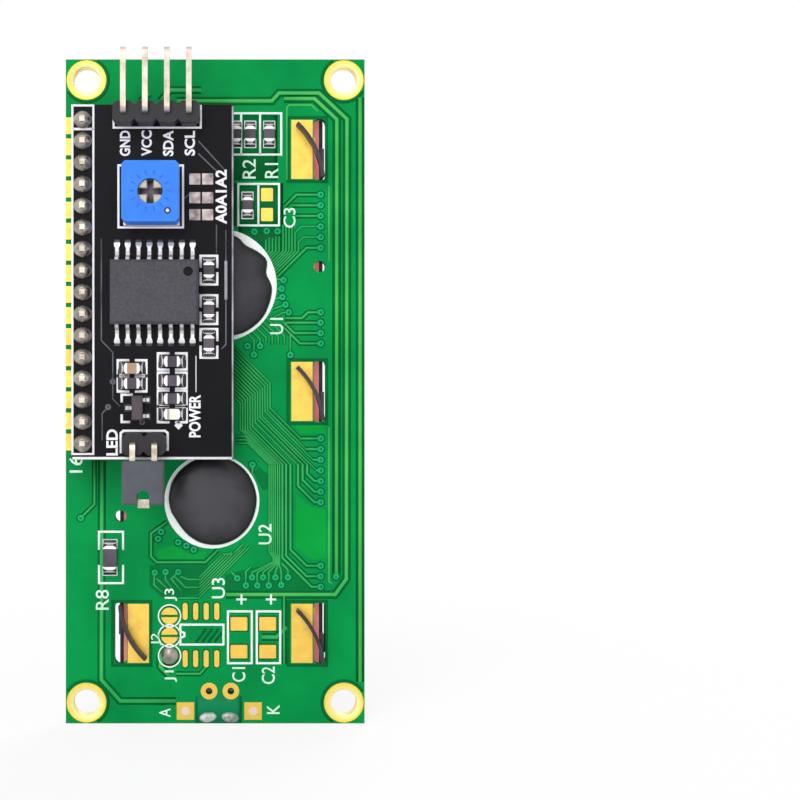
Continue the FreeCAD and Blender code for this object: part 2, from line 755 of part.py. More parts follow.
def jumper_cap():
    """Removable cap: a moulded shell with two bores, and the metal clip that grips the two pins."""
    level = adapter_rear - header_block - header_pin_lift
    start = link_z - header_block / 2 - cap_gap
    end = start - cap_length
    middle = (start + end) / 2
    shell = block(link_x, middle, cap_width, cap_length, level - cap_depth / 2, level + cap_depth / 2)
    shell = shell.makeChamfer(cap_edge, shell.Edges)
    cuts = []
    clip = []
    bore_mid = start - cap_bore_length / 2
    sleeve_start = start - clip_recess
    sleeve_end = start - cap_bore_length + clip_gap
    sleeve = cap_bore - 2 * clip_gap
    for x in pin_places(link_x, link_pins):
        cuts.append(block(x, bore_mid, cap_bore, cap_bore_length, level - cap_bore / 2, level + cap_bore / 2))
        tube = block(x, (sleeve_start + sleeve_end) / 2, sleeve, sleeve_start - sleeve_end,
                     level - sleeve / 2, level + sleeve / 2)
        room = sleeve - 2 * clip_wall
        clip.append(tube.cut(block(x, (sleeve_start + sleeve_end) / 2, room, sleeve_start - sleeve_end,
                                   level - room / 2, level + room / 2)))
    strip_y = level + sleeve / 2
    strip_width_x = pin_pitch + sleeve
    notch_middle = end + cap_notch_length - cap_notch_width / 2
    notch = [block(link_x, (notch_middle + end) / 2, cap_notch_width, notch_middle - end,
                   level - cap_depth, level + cap_depth),
             rod(link_x, notch_middle, cap_notch_width / 2, level - cap_depth, level + cap_depth)]
    strip_mid = (sleeve_start + end) / 2
    cuts.append(block(link_x, strip_mid, strip_width_x + 2 * clip_gap, sleeve_start - end,
                      strip_y + clip_gap, strip_y - clip_strip - clip_gap))
    strip_end_z = end + clip_gap
    bar_y = strip_y - clip_strip + clip_wall / 4
    strip = block(link_x, (sleeve_start + strip_end_z) / 2, strip_width_x, sleeve_start - strip_end_z,
                  strip_y, bar_y)
    bar_middle = end + clip_bar_length / 2 - clip_bar_reach
    bar = block(link_x, bar_middle, clip_bar_width, clip_bar_length, strip_y, bar_y)
    foot_width = cap_notch_width + 2 * clip_wall
    foot = block(link_x, strip_end_z + clip_wall / 2, foot_width, clip_wall, strip_y, bar_y)
    clip_body = clip[0].fuse([clip[1], strip]).removeSplitter().cut(notch)
    parts["jumper_cap_shell"] = [shell.cut(cuts + notch)]
    parts["jumper_cap_clip"] = [clip_body.fuse([bar, foot]).removeSplitter()]


def trimmer():
    """Blue single-turn trimmer: housing, turning rotor with its cross slot, base plate and leads."""
    top = adapter_rear - trimmer_rise
    base_top = adapter_rear - trimmer_base_thickness
    housing = block(trimmer_x, trimmer_z, trimmer_width, trimmer_height, base_top, top)
    housing = housing.makeChamfer(trimmer_corner, along_depth(housing))
    rotor_top = top + rotor_recess
    flange_foot = base_top - rotor_gap
    flange_top = flange_foot - rotor_flange_thickness
    well = rod(trimmer_x, trimmer_z, rotor_flange_radius + rotor_gap, base_top, flange_top - rotor_gap)
    mouth = rod(trimmer_x, trimmer_z, rotor_radius + rotor_gap, base_top, top)
    parts["trimmer_housing"] = [housing.cut([well, mouth])]
    rotor = rod(trimmer_x, trimmer_z, rotor_flange_radius, flange_foot, flange_top)
    rotor = rotor.fuse(rod(trimmer_x, trimmer_z, rotor_radius, flange_foot, rotor_top)).removeSplitter()
    slot_floor = rotor_top + rotor_slot_depth
    cross = [block(trimmer_x, trimmer_z, rotor_slot_width, rotor_slot_length, rotor_top, slot_floor),
             block(trimmer_x, trimmer_z, rotor_slot_length, rotor_slot_width, rotor_top, slot_floor)]
    parts["trimmer_rotor"] = [rotor.cut(cross)]
    lead_end = adapter_front + under_length
    parts["trimmer_leads"] = [drill(trimmer_x + a, trimmer_z + b, trimmer_lead_radius, lead_end, adapter_rear)
                              for a, b in trimmer_lead_places]
    parts["trimmer_base"] = [block(trimmer_x, trimmer_z, trimmer_width, trimmer_height,
                                   adapter_rear, base_top)]


def gull_wing(wall, way, foot, sizes):
    """Side outline of a lead that leaves a chip's wall, drops and lies on its pad."""
    reach, shoulder, knee, exit_height, thickness = sizes
    steps = [(0, exit_height + thickness), (shoulder, exit_height + thickness), (knee, thickness),
             (reach, thickness), (reach, 0), (knee - thickness, 0), (shoulder - thickness / 2, exit_height),
             (0, exit_height)]
    return [(wall + way * out, foot - up) for out, up in steps]


def expander_leg(x, way):
    """Gull-wing leg of the expander chip; way is 1 on its upper side and -1 on its lower side."""
    wall = expander_z + way * expander_width / 2
    sizes = (lead_reach, lead_shoulder, lead_knee, lead_exit, lead_thickness)
    points = gull_wing(wall, way, adapter_copper, sizes)
    return profile(points, "z", x - lead_width / 2, lead_width)


def expander():
    """Sixteen-leg chip: bevelled body with its pin-one dimple, and its legs."""
    foot = adapter_copper - expander_lift
    top = foot - expander_rise
    body = block(expander_x, expander_z, expander_length, expander_width, foot, top)
    body = body.makeChamfer(expander_bevel, on_depth(body, top))
    dimple_x = expander_x + expander_length / 2 - expander_dimple_inset[0]
    dimple_z = expander_z + expander_width / 2 - expander_dimple_inset[1]
    dimple = rod(dimple_x, dimple_z, expander_dimple_radius, top, top + expander_dimple_depth)
    parts["expander_chip"] = [body.cut(dimple)]
    legs = []
    for i in range(expander_leg_pairs):
        x = expander_x + (i - (expander_leg_pairs - 1) / 2) * lead_pitch
        for way in (-1, 1):
            legs.append(expander_leg(x, way))
            pad_z = expander_z + way * (expander_width / 2 + lead_pad[1] / 2 + lead_pad_gap)
            adapter_pads.append(block(x, pad_z, lead_pad[0], lead_pad[1], adapter_rear, adapter_copper))
    parts["expander_legs"] = legs


def adapter_parts():
    """Resistors, capacitor, transistor and power lamp on the adapter, and its address pads."""
    bodies = []
    ends = []
    places = [(adapter_x(adapter_column), adapter_z(drop), "z") for drop in adapter_column_rows]
    places += [(adapter_x(right_cluster), adapter_z(drop), "x") for drop in right_rows]
    places.append((adapter_x(left_cluster), adapter_z(left_rows[1]), "x"))
    for x, z, along in places:
        body, caps, feet = chip(x, z, along, chip_0805, adapter_rear)
        bodies.append(body)
        ends += caps
        adapter_pads.extend(feet)
    parts["adapter_resistor_bodies"] = bodies
    parts["adapter_resistor_ends"] = ends
    x, z = adapter_x(left_cluster), adapter_z(left_rows[0])
    capacitor, caps, feet = chip(x, z, "x", chip_0805, adapter_rear)
    parts["capacitor_body"] = [capacitor]
    parts["capacitor_ends"] = caps
    adapter_pads.extend(feet)
    x, z = adapter_x(right_cluster), adapter_z(power_lamp_row)
    lamp, caps, feet = chip(x, z, "x", chip_0805, adapter_rear)
    lamp_top = adapter_copper - chip_0805[2]
    parts["power_lamp_body"] = [lamp.makeChamfer(power_lamp_bevel, on_depth(lamp, lamp_top)[:1])]
    parts["power_lamp_ends"] = caps
    adapter_pads.extend(feet)

    x, z = adapter_x(transistor_place[0]), adapter_z(transistor_place[1])
    width, length, rise = transistor_body
    foot = adapter_copper
    body = block(x, z, width, length, foot, foot - rise)
    parts["transistor_body"] = [body.makeChamfer(transistor_bevel, on_depth(body, foot - rise))]
    legs = []
    sizes = (transistor_lead_reach, transistor_lead_shoulder, transistor_lead_knee,
             transistor_lead_exit, transistor_lead_thickness)
    half_pitch = transistor_lead_pitch / 2
    for side, leg_z in ((-1, z), (1, z + half_pitch), (1, z - half_pitch)):
        wall = x + side * width / 2
        points = gull_wing(wall, side, foot, sizes)
        legs.append(profile(points, "x", leg_z - transistor_lead_width / 2, transistor_lead_width))
        pad_x = wall + side * (transistor_lead_reach / 2 + transistor_pad_gap)
        adapter_pads.append(block(pad_x, leg_z, transistor_lead_reach, 2 * transistor_lead_width,
                                  adapter_rear, adapter_copper))
    parts["transistor_legs"] = legs
    parts["adapter_pads"] = adapter_pads
    parts["address_pads"] = [block(adapter_x(a), adapter_z(b), address_pad[0], address_pad[1],
                                   adapter_rear, adapter_copper)
                             for a in address_columns for b in address_rows]


def adapter_board():
    """Black adapter board, drilled for the pin row, the headers and the trimmer."""
    board = block(adapter_left + adapter_width / 2, adapter_top_z - adapter_height / 2,
                  adapter_width, adapter_height, adapter_front, adapter_rear)
    holes = [drill(row_x, z, pin_hole_radius, adapter_front, adapter_rear) for z in pin_z]
    through = [(x, bus_z) for x in pin_places(bus_x, bus_pins)]
    through += [(x, link_z) for x in pin_places(link_x, link_pins)]
    holes += [drill(x, z, pin_hole_radius, adapter_front, adapter_rear) for x, z in through]
    leads = [(trimmer_x + a, trimmer_z + b) for a, b in trimmer_lead_places]
    holes += [drill(x, z, trimmer_lead_radius + guide_gap, adapter_front, adapter_rear) for x, z in leads]
    parts["adapter_board"] = [board.cut(holes)]
    bars = [block(x, z, pin_side, pin_side, adapter_front, front) for x, z in through]
    bars += [drill(x, z, trimmer_lead_radius, adapter_front, front) for x, z in leads]
    parts["under_solder"] = [pin_solder(x, z, adapter_front, 1, bar)
                             for (x, z), bar in zip(through + leads, bars)]


supply_x = [supply_pad_offset + side * supply_pad_spacing / 2 for side in (-1, 1)]
supply_z = bottom_edge + supply_pad_inset
test_z = bottom_edge + test_pad_inset
lamp_lead_x = [frame_offset + side * lamp_lead_spacing / 2 for side in (-1, 1)]
lamp_lead_z = bottom_edge + lamp_lead_inset
bus_x = adapter_x(bus_offset) + header_block / 2
bus_z = adapter_z(bus_inset)
link_x = adapter_x(link_offset) + header_block / 2
link_z = adapter_bottom_z + link_inset
trimmer_x = adapter_x(trimmer_place[0])
trimmer_z = adapter_z(trimmer_place[1])
expander_x = adapter_x(expander_place[0])
expander_z = adapter_z(expander_place[1])
adapter_pads = []

display_board()
corner_plating()
board_pads()
steel_frame()
display_cell()
backlight()
board_parts()
main_row()
headers()
jumper_cap()
trimmer()
expander()
adapter_parts()
adapter_board()

for name, solids in parts.items():
    Part.makeCompound(solids).exportStep("parts/" + name + ".step")
print(len(parts), "nodes")
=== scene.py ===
import math
import json
import bpy
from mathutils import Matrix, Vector


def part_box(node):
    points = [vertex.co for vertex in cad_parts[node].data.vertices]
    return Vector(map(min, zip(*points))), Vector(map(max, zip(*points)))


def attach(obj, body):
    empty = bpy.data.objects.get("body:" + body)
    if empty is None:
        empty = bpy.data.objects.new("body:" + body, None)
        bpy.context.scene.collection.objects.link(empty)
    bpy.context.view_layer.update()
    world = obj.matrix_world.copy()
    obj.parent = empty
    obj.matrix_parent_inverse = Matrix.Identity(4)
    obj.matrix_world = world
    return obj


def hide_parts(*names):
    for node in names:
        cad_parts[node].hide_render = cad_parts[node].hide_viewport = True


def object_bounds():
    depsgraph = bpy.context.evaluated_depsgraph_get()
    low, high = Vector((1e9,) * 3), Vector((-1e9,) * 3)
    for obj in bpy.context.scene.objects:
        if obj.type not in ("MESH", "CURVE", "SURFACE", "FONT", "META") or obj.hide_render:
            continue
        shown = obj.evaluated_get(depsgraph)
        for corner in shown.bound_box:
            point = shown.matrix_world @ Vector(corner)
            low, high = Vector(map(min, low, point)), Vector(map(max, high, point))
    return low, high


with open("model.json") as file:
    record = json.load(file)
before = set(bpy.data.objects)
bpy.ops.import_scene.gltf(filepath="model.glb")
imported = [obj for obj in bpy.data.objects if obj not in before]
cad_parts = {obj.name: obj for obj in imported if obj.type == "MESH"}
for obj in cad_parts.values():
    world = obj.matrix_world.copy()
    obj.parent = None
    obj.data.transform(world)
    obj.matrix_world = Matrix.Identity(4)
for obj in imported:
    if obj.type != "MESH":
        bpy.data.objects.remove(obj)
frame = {"nodes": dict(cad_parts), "record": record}

# %% [markdown]
# ## A character display module
# The object is a green display board with a small black adapter board soldered across its sixteen pins. The CAD
# model brings every rigid piece at its true size. This notebook gives each piece its finish, and adds what
# is too fine for the CAD: copper tracks, printed lettering, shiny solder and the resin drops.
#
# The board stands upright. Its component side looks along -Y, its display side looks along +Y.

# %% Units and the faces that everything is placed on
MM = 0.001
nodes = frame["nodes"]
cad_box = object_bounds()
rear_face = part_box("lcd_board")[0].y / MM
front_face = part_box("lcd_board")[1].y / MM
adapter_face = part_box("adapter_board")[0].y / MM
copper_rise = rear_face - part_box("rear_edge_pads")[0].y / MM
print("board from", round(rear_face, 3), "to", round(front_face, 3), "mm, adapter face at", round(adapter_face, 3))

# %% [markdown]
# ## Shader arithmetic
# A finish is a small network of nodes. Wiring each Math node by hand is long and hard to read, so one class wraps a
# socket and lets Python's own signs add the nodes: `1 - mask * 0.4` makes two of them. A second class holds one
# finish and has a single method for every other kind of node.

# %% A socket that can be added, multiplied and compared
class Value:
    """One number that varies over a surface."""

    def __init__(self, finish, socket):
        self.finish = finish
        self.socket = socket

    def maths(self, operation, first, second):
        return self.finish.node("ShaderNodeMath", {"operation": operation}, {0: first, 1: second})

    def __add__(self, other):
        return self.maths("ADD", self, other)

    def __radd__(self, other):
        return self.maths("ADD", other, self)

    def __sub__(self, other):
        return self.maths("SUBTRACT", self, other)

    def __rsub__(self, other):
        return self.maths("SUBTRACT", other, self)

    def __mul__(self, other):
        return self.maths("MULTIPLY", self, other)

    def __rmul__(self, other):
        return self.maths("MULTIPLY", other, self)

    def __lt__(self, other):
        return self.maths("LESS_THAN", self, other)

    def __gt__(self, other):
        return self.maths("GREATER_THAN", self, other)


# %% One finish: a material with its shader, and a method that adds any node
def linear(colour):
    """Colour written as a painter reads it, 0 to 255, turned into light."""
    parts = [c / 255 for c in colour]
    return tuple(p / 12.92 if p <= 0.04045 else ((p + 0.055) / 1.055) ** 2.4 for p in parts) + (1.0,)


class Finish:
    """A material under construction."""

    def __init__(self, name, **constants):
        self.material = bpy.data.materials.new(name)
        self.material.use_nodes = True
        self.tree = self.material.node_tree
        self.shader = self.tree.nodes["Principled BSDF"]
        self.set(**constants)

    def plug(self, socket, value):
        if isinstance(value, Value):
            self.tree.links.new(value.socket, socket)
        else:
            socket.default_value = value

    def set(self, **sockets):
        """Sets sockets of the shader, named with underscores for spaces."""
        for name, value in sockets.items():
            self.plug(self.shader.inputs[name.replace("_", " ")], value)

    def node(self, kind, settings=None, sockets=None, output=0):
        made = self.tree.nodes.new(kind)
        for name, value in (settings or {}).items():
            if name == "stops":
                stops = made.color_ramp.elements
                while len(stops) < len(value):
                    stops.new(0.5)
                for stop, (position, colour) in zip(stops, value):
                    stop.position = position
                    stop.color = colour
            else:
                setattr(made, name, value)
        for name, value in (sockets or {}).items():
            self.plug(made.inputs[name], value)
        return Value(self, made.outputs[output])

    def place(self, scale=(1.0, 1.0, 1.0)):
        """Object coordinates in millimetres, stretched."""
        here = self.node("ShaderNodeTexCoord", output="Object")
        stretch = tuple(s / MM for s in scale)
        return self.node("ShaderNodeMapping", {}, {"Vector": here, "Scale": stretch})

    def noise(self, size, detail=3.0, scale=(1.0, 1.0, 1.0)):
        """Cloudy number from 0 to 1 whose features are about size millimetres wide."""
        return self.node("ShaderNodeTexNoise", {}, {"Vector": self.place(scale), "Scale": 1 / size, "Detail": detail})

    def blend(self, amount, first, second):
        """Colour that goes from first to second as amount goes from 0 to 1."""
        return self.node("ShaderNodeMix", {"data_type": "RGBA"}, {0: amount, 6: first, 7: second}, output=2)

    def spread(self, value, low, high, to_low=0.0, to_high=1.0):
        """Stretches value between low and high to a new range."""
        return self.node("ShaderNodeMapRange", {}, {"Value": value, "From Min": low, "From Max": high,
                                                    "To Min": to_low, "To Max": to_high})

    def relief(self, height, distance, strength=1.0):
        """Bump of that height pattern; distance is in millimetres."""
        bump = self.node("ShaderNodeBump", {}, {"Height": height, "Distance": distance * MM,
                                                "Strength": strength})
        self.set(Normal=bump)


# %% [markdown]
# ## The finishes
# The display board has a glossy green solder mask over copper. The mask is thin, so the copper beneath shows as a
# slightly uneven, brighter green, and the weave of the glass cloth gives a faint texture. The sawn edges of the board
# show the bare laminate. They are found from Object coordinates, which don't depend on where anyone looks from.

# %% Green solder mask
def split(finish, vector):
    """The x, y and z of a vector as three values."""
    parts = finish.node("ShaderNodeSeparateXYZ", {}, {0: vector})
    outputs = parts.socket.node.outputs
    return [Value(finish, socket) for socket in outputs]


def size_of(finish, value):
    """The value without its sign."""
    return finish.node("ShaderNodeMath", {"operation": "ABSOLUTE"}, {0: value})


def board_edge(finish, half_width, half_height, middle=(0.0, 0.0)):
    """1 on the sawn edges of a board, 0 on its two faces."""
    x, y, z = split(finish, finish.place())
    skin = 0.02
    side = size_of(finish, x - middle[0]) > half_width - skin
    end = size_of(finish, z - middle[1]) > half_height - skin
    return finish.node("ShaderNodeMath", {"operation": "MAXIMUM"}, {0: side, 1: end})


def box_middle(name):
    """Centre and half sizes of a CAD node in x and z, in millimetres."""
    low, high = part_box(name)
    middle = ((low.x + high.x) / 2 / MM, (low.z + high.z) / 2 / MM)
    half = ((high.x - low.x) / 2 / MM, (high.z - low.z) / 2 / MM)
    return middle, half


def green_mask(name, colour, darker, board=False):
    finish = Finish(name, Roughness=0.38, Specular_IOR_Level=0.05)
    cloud = finish.spread(finish.noise(7.0, 3.0), 0.35, 0.65)
    colour_here = finish.blend(cloud, linear(colour), linear(darker))
    weave = finish.noise(0.45, 1.0)
    if board:
        middle, half = box_middle("lcd_board")
        edge = board_edge(finish, half[0], half[1], middle)
        colour_here = finish.blend(edge, colour_here, linear((126, 146, 84)))
    finish.set(Base_Color=colour_here)
    finish.relief(weave, 0.02, 0.25)
    return finish.material


mask_over_copper = green_mask("green mask over copper", (2, 148, 72), (1, 132, 66), board=True)
mask_over_laminate = green_mask("green mask over bare laminate", (2, 106, 50), (1, 96, 46))
mask_over_track = green_mask("green mask over a track", (84, 190, 90), (60, 176, 84))
mask_over_fine = green_mask("green mask over a fine track", (66, 180, 98), (44, 162, 84))
mask_over_via = green_mask("green mask over a via", (32, 178, 116), (20, 160, 100))
mask_between = green_mask("green mask between fine tracks", (2, 118, 58), (2, 108, 53))
bright_mask = green_mask("green mask over thick copper", (6, 158, 60), (4, 148, 58))
mask_over_strip = green_mask("green mask over the lamp strip", (22, 142, 92), (14, 126, 80))
print("eight green masks")


# %% [markdown]
# ## Black board and black steel
# The adapter's mask is black and satin. The steel frame is oxidised black, with the faint lines that rolling leaves
# along the sheet. Both stay dark in a bright room, so their reflection is kept low.

# %% Black solder mask and black steel
def black_mask():
    finish = Finish("black solder mask", Roughness=0.42, Specular_IOR_Level=0.1)
    middle, half = box_middle("adapter_board")
    edge = board_edge(finish, half[0], half[1], middle)
    cloud = finish.spread(finish.noise(5.0, 3.0), 0.3, 0.7)
    colour = finish.blend(cloud, linear((11, 10, 14)), linear((17, 16, 20)))
    finish.set(Base_Color=finish.blend(edge, colour, linear((58, 54, 46))))
    finish.relief(finish.noise(0.4, 1.0), 0.02, 0.2)
    return finish.material


def black_steel():
    finish = Finish("black oxidised steel", Metallic=0.1, Specular_IOR_Level=0.25)
    rolled = finish.noise(0.5, 2.0, scale=(1.0, 1.0, 0.04))
    cloud = finish.noise(4.0, 3.0)
    finish.set(Base_Color=finish.blend(finish.spread(cloud, 0.35, 0.65), linear((50, 49, 53)),
                                       linear((64, 62, 66))))
    finish.set(Roughness=finish.spread(rolled, 0.3, 0.7, 0.42, 0.56))
    finish.relief(rolled, 0.01, 0.3)
    return finish.material


# %% [markdown]
# ## Metals
# Pads are copper plated with gold, pins are tinned, and solder is a soft silver. Metals take their colour from what
# they reflect, so a little cloud in the roughness and a low bump keep them from looking like mirrors.

# %% Metals
def metal(name, colour, worn, rough, bumps, height, shine=1.0):
    finish = Finish(name, Metallic=shine)
    cloud = finish.noise(bumps * 4, 3.0)
    finish.set(Base_Color=finish.blend(finish.spread(cloud, 0.3, 0.7), linear(colour), linear(worn)))
    finish.set(Roughness=finish.spread(cloud, 0.3, 0.7, rough, rough + 0.14))
    finish.relief(finish.noise(bumps, 2.0), height, 0.5)
    return finish.material


gold = metal("gold plate", (244, 206, 92), (230, 186, 92), 0.34, 0.35, 0.01)
tin = metal("tinned copper", (200, 208, 208), (182, 190, 190), 0.26, 0.5, 0.012)
silver_solder = metal("solder", (246, 243, 242), (214, 210, 210), 0.34, 0.4, 0.03, 0.55)
joint_solder = metal("solder of the pin row", (184, 178, 168), (128, 122, 114), 0.26, 0.3, 0.04)
front_solder = metal("solder of the display side", (240, 237, 236), (196, 190, 188), 0.28, 0.35, 0.04, 0.6)
# Painted shade: this dark grey solder stands for the shade beside the bright solder slopes.
solder_painted_shade = metal("shaded solder", (78, 76, 80), (46, 46, 50), 0.4, 0.4, 0.02)
dull_pad = metal("unsoldered pad", (196, 182, 178), (112, 102, 104), 0.4, 0.25, 0.02)
warm_solder = metal("warm solder", (246, 228, 222), (222, 204, 196), 0.3, 0.4, 0.02)
pin_metal = metal("pin metal", (206, 196, 182), (166, 156, 140), 0.3, 0.3, 0.006)
lump_solder = metal("lump of solder", (226, 230, 228), (112, 124, 120), 0.4, 0.22, 0.06, 0.3)
lead_metal = metal("chip lead", (206, 204, 203), (176, 174, 175), 0.4, 0.3, 0.01, 0.7)
print("metals ready")


# %% [markdown]
# ## Plastics, resin, rubber and glass
# Each moulded piece has a fine grain and a colour that drifts slightly. The resin over the bare chips is poured, so
# it is smooth and glossy. The striped rubber strips conduct across their stripes, which repeat every 0.18 mm.

# %% A moulded plastic
def moulded(name, colour, other, rough, grain=0.25, height=0.01, gloss=0.5):
    finish = Finish(name, Specular_IOR_Level=gloss)
    cloud = finish.noise(2.5, 3.0)
    finish.set(Base_Color=finish.blend(finish.spread(cloud, 0.35, 0.65), linear(colour), linear(other)))
    finish.set(Roughness=finish.spread(cloud, 0.3, 0.7, rough, rough + 0.1))
    finish.relief(finish.noise(grain, 2.0), height, 0.4)
    return finish.material


black_moulding = moulded("black header plastic", (28, 28, 32), (38, 37, 41), 0.36, gloss=0.3)
grey_moulding = moulded("jumper cap plastic", (76, 79, 86), (86, 89, 96), 0.45, gloss=0.2)
white_plastic = moulded("white plastic", (236, 233, 236), (226, 222, 226), 0.4)
white_film = moulded("white film", (240, 240, 240), (230, 230, 232), 0.5)
chip_black = moulded("chip resistor body", (92, 86, 96), (70, 66, 74), 0.5, 0.12, 0.01, 0.2)
transistor_black = moulded("transistor body", (84, 76, 80), (70, 64, 68), 0.5, 0.12, 0.01, 0.2)
tan_ceramic = moulded("tan ceramic", (176, 142, 110), (160, 128, 98), 0.4)
lamp_plastic = moulded("lamp plastic", (240, 238, 226), (228, 226, 206), 0.3)
ink = moulded("white ink", (246, 254, 250), (236, 250, 243), 0.6, 0.08, 0.004, 0.3)
letter_ink = moulded("thin white ink", (230, 250, 238), (196, 234, 212), 0.6, 0.08, 0.004, 0.3)
edge_ink = moulded("worn ink at the edge", (188, 186, 194), (132, 130, 140), 0.6, 0.08, 0.004, 0.3)
adapter_ink = moulded("white ink on black", (248, 247, 250), (230, 229, 234), 0.6, 0.08, 0.004, 0.3)
adapter_track = moulded("black mask over a track", (116, 114, 124), (80, 78, 86), 0.42, 0.3, 0.004, 0.1)


# %% [markdown]
# ## Finishes with a drawing in them
# Some finishes change over one piece, and each finds its marks from Object coordinates. The resin is painted darkest at
# its steep rim and lighter on its top, a painted shade and sheen. The rings of the fixing holes are yellow at the rim
# and painted pale towards the hole, a painted highlight.

# %% Resin and corner rings
def distance_from(finish, x, z, centre):
    """Distance in millimetres from a line that runs along Y through centre."""
    across, up = x - centre[0], z - centre[1]
    return finish.node("ShaderNodeMath", {"operation": "SQRT"}, {0: across * across + up * up})


def resin_painted_rim_shade_and_sheen():
    finish = Finish("black resin", Specular_IOR_Level=0.3)
    x, y, z = split(finish, finish.place())
    height = rear_face - y
    cloud = finish.spread(finish.noise(1.8, 3.0), 0.3, 0.7, -0.12, 0.12)
    # Painted shade and sheen: the colour is darkest low on the steep rim and lighter on the top, set by height above
    # the board.
    shade = finish.spread(height + cloud, 0.45, 1.32)
    finish.set(Base_Color=finish.blend(shade, linear((14, 13, 16)), linear((62, 61, 67))))
    finish.set(Roughness=finish.spread(cloud, -0.1, 0.1, 0.3, 0.38))
    finish.relief(finish.noise(1.6, 2.0), 0.03, 0.5)
    return finish.material


resin = resin_painted_rim_shade_and_sheen()
hole_x, hole_z, hole_radius = 15.5, 37.5, 1.55


def ring_gold_with_painted_highlight():
    """Gold round each of the four fixing holes, yellow at its outer rim and painted pale towards the hole, a painted
    highlight.
    """
    finish = Finish("gold of the corner rings", Metallic=0.35)
    x, y, z = split(finish, finish.place())
    away = distance_from(finish, size_of(finish, x), size_of(finish, z), (hole_x, hole_z))
    cloud = finish.noise(0.8, 2.0)
    # Painted highlight: the ring turns pale towards the hole, as if lit from the hole's wall.
    rim = finish.spread(away + cloud * 0.2, hole_radius + 0.2, hole_radius + 0.85)
    finish.set(Base_Color=finish.blend(rim, linear((255, 240, 164)), linear((246, 214, 72))))
    finish.set(Roughness=finish.spread(cloud, 0.3, 0.7, 0.34, 0.46))
    finish.relief(finish.noise(0.35, 2.0), 0.01, 0.5)
    return finish.material


# %% [markdown]
# ## Trimmer and expander
# The trimmer has short printed ticks round its rotor. A PINGPONG node on the angle repeats one tick all the way round,
# and two distances cut its length. The rotor's slot is painted as a dark cross of painted shade between four cream
# quarters, lighter grey at its middle, which is found from the smaller of the two distances from its middle lines. A
# small hole beside the rotor is painted as a dark ring of shade round a pale dot of highlight. The expander chip has a
# dark dimple that marks its first leg.

# %% Trimmer
rotor_low, rotor_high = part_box("trimmer_rotor")
rotor_centre = ((rotor_low.x + rotor_high.x) / 2 / MM, (rotor_low.z + rotor_high.z) / 2 / MM)
trimmer_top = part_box("trimmer_housing")[0].y / MM


def trimmer_blue():
    finish = Finish("blue trimmer plastic", Specular_IOR_Level=0.3)
    x, y, z = split(finish, finish.place())
    cloud = finish.spread(finish.noise(2.5, 3.0), 0.35, 0.65)
    blue = finish.blend(cloud, linear((40, 118, 234)), linear((48, 126, 240)))
    away = distance_from(finish, x, z, rotor_centre)
    turn = finish.node("ShaderNodeMath", {"operation": "ARCTAN2"}, {0: z - rotor_centre[1], 1: x - rotor_centre[0]})
    beat = finish.node("ShaderNodeMath", {"operation": "PINGPONG"}, {0: turn * (7 / math.pi), 1: 0.5})
    ticks = (beat < 0.11) * (away > 1.8) * (away < 2.4) * (y < trimmer_top + 0.05)
    blue = finish.blend(ticks * 0.75, blue, linear((34, 92, 206)))
    # A small hole below right of the rotor is painted: a dark ring of painted shade round a pale dot of painted
    # highlight.
    mark = distance_from(finish, x, z, (rotor_centre[0] + 2.0, rotor_centre[1] - 2.25))
    blue = finish.blend(mark < 0.4, blue, linear((34, 44, 70)))
    finish.set(Base_Color=finish.blend(mark < 0.2, blue, linear((206, 214, 226))))
    finish.set(Roughness=finish.spread(cloud, 0.0, 1.0, 0.36, 0.44))
    finish.relief(finish.noise(0.3, 2.0), 0.01, 0.4)
    return finish.material


def rotor_cream_painted_slot_shade():
    finish = Finish("cream rotor with painted slot shade", Specular_IOR_Level=0.3)
    x, y, z = split(finish, finish.place())
    across, up = size_of(finish, x - rotor_centre[0]), size_of(finish, z - rotor_centre[1])
    nearest = finish.node("ShaderNodeMath", {"operation": "MINIMUM"}, {0: across, 1: up})
    away = distance_from(finish, x, z, rotor_centre)
    cloud = finish.noise(0.5, 2.0)
    # The dark cross is painted shade of the screwdriver slot, grey at the middle and darker along the arms.
    cross = finish.blend(finish.spread(away, 0.6, 1.15), linear((104, 94, 108)), linear((22, 20, 26)))
    cream = finish.blend(cloud, linear((222, 214, 184)), linear((168, 160, 140)))
    edge = finish.spread(nearest, 0.36, 0.5)
    finish.set(Base_Color=finish.blend(edge, cross, cream))
    finish.set(Roughness=finish.spread(cloud, 0.3, 0.7, 0.4, 0.5))
    finish.relief(cloud, 0.02, 0.4)
    return finish.material


# %% Expander
def expander_grey():
    finish = Finish("expander body", Specular_IOR_Level=0.15)
    x, y, z = split(finish, finish.place())
    low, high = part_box("expander_chip")
    dimple = distance_from(finish, x, z, (high.x / MM - 1.2, high.z / MM - 1.4))
    grain = finish.noise(0.25, 3.0)
    grey = finish.blend(finish.spread(grain, 0.3, 0.7), linear((66, 65, 70)), linear((82, 81, 87)))
    finish.set(Base_Color=finish.blend(dimple < 0.56, grey, linear((12, 12, 14))))
    finish.set(Roughness=finish.spread(grain, 0.3, 0.7, 0.5, 0.62))
    finish.relief(grain, 0.02, 0.4)
    return finish.material


# %% [markdown]
# ## The display's layers
# The display shows as a deep blue film, painted lighter along its middle as a painted sheen, in which the two lines of
# sixteen character cells are only just lighter. The cells repeat, so a PINGPONG node folds them all onto one and two
# comparisons cut it out. The rubber's stripes are a sine wave along its length. The rubber is given a faint glow,
# painted light, because it lies deep in its slots, where the lamps hardly reach.

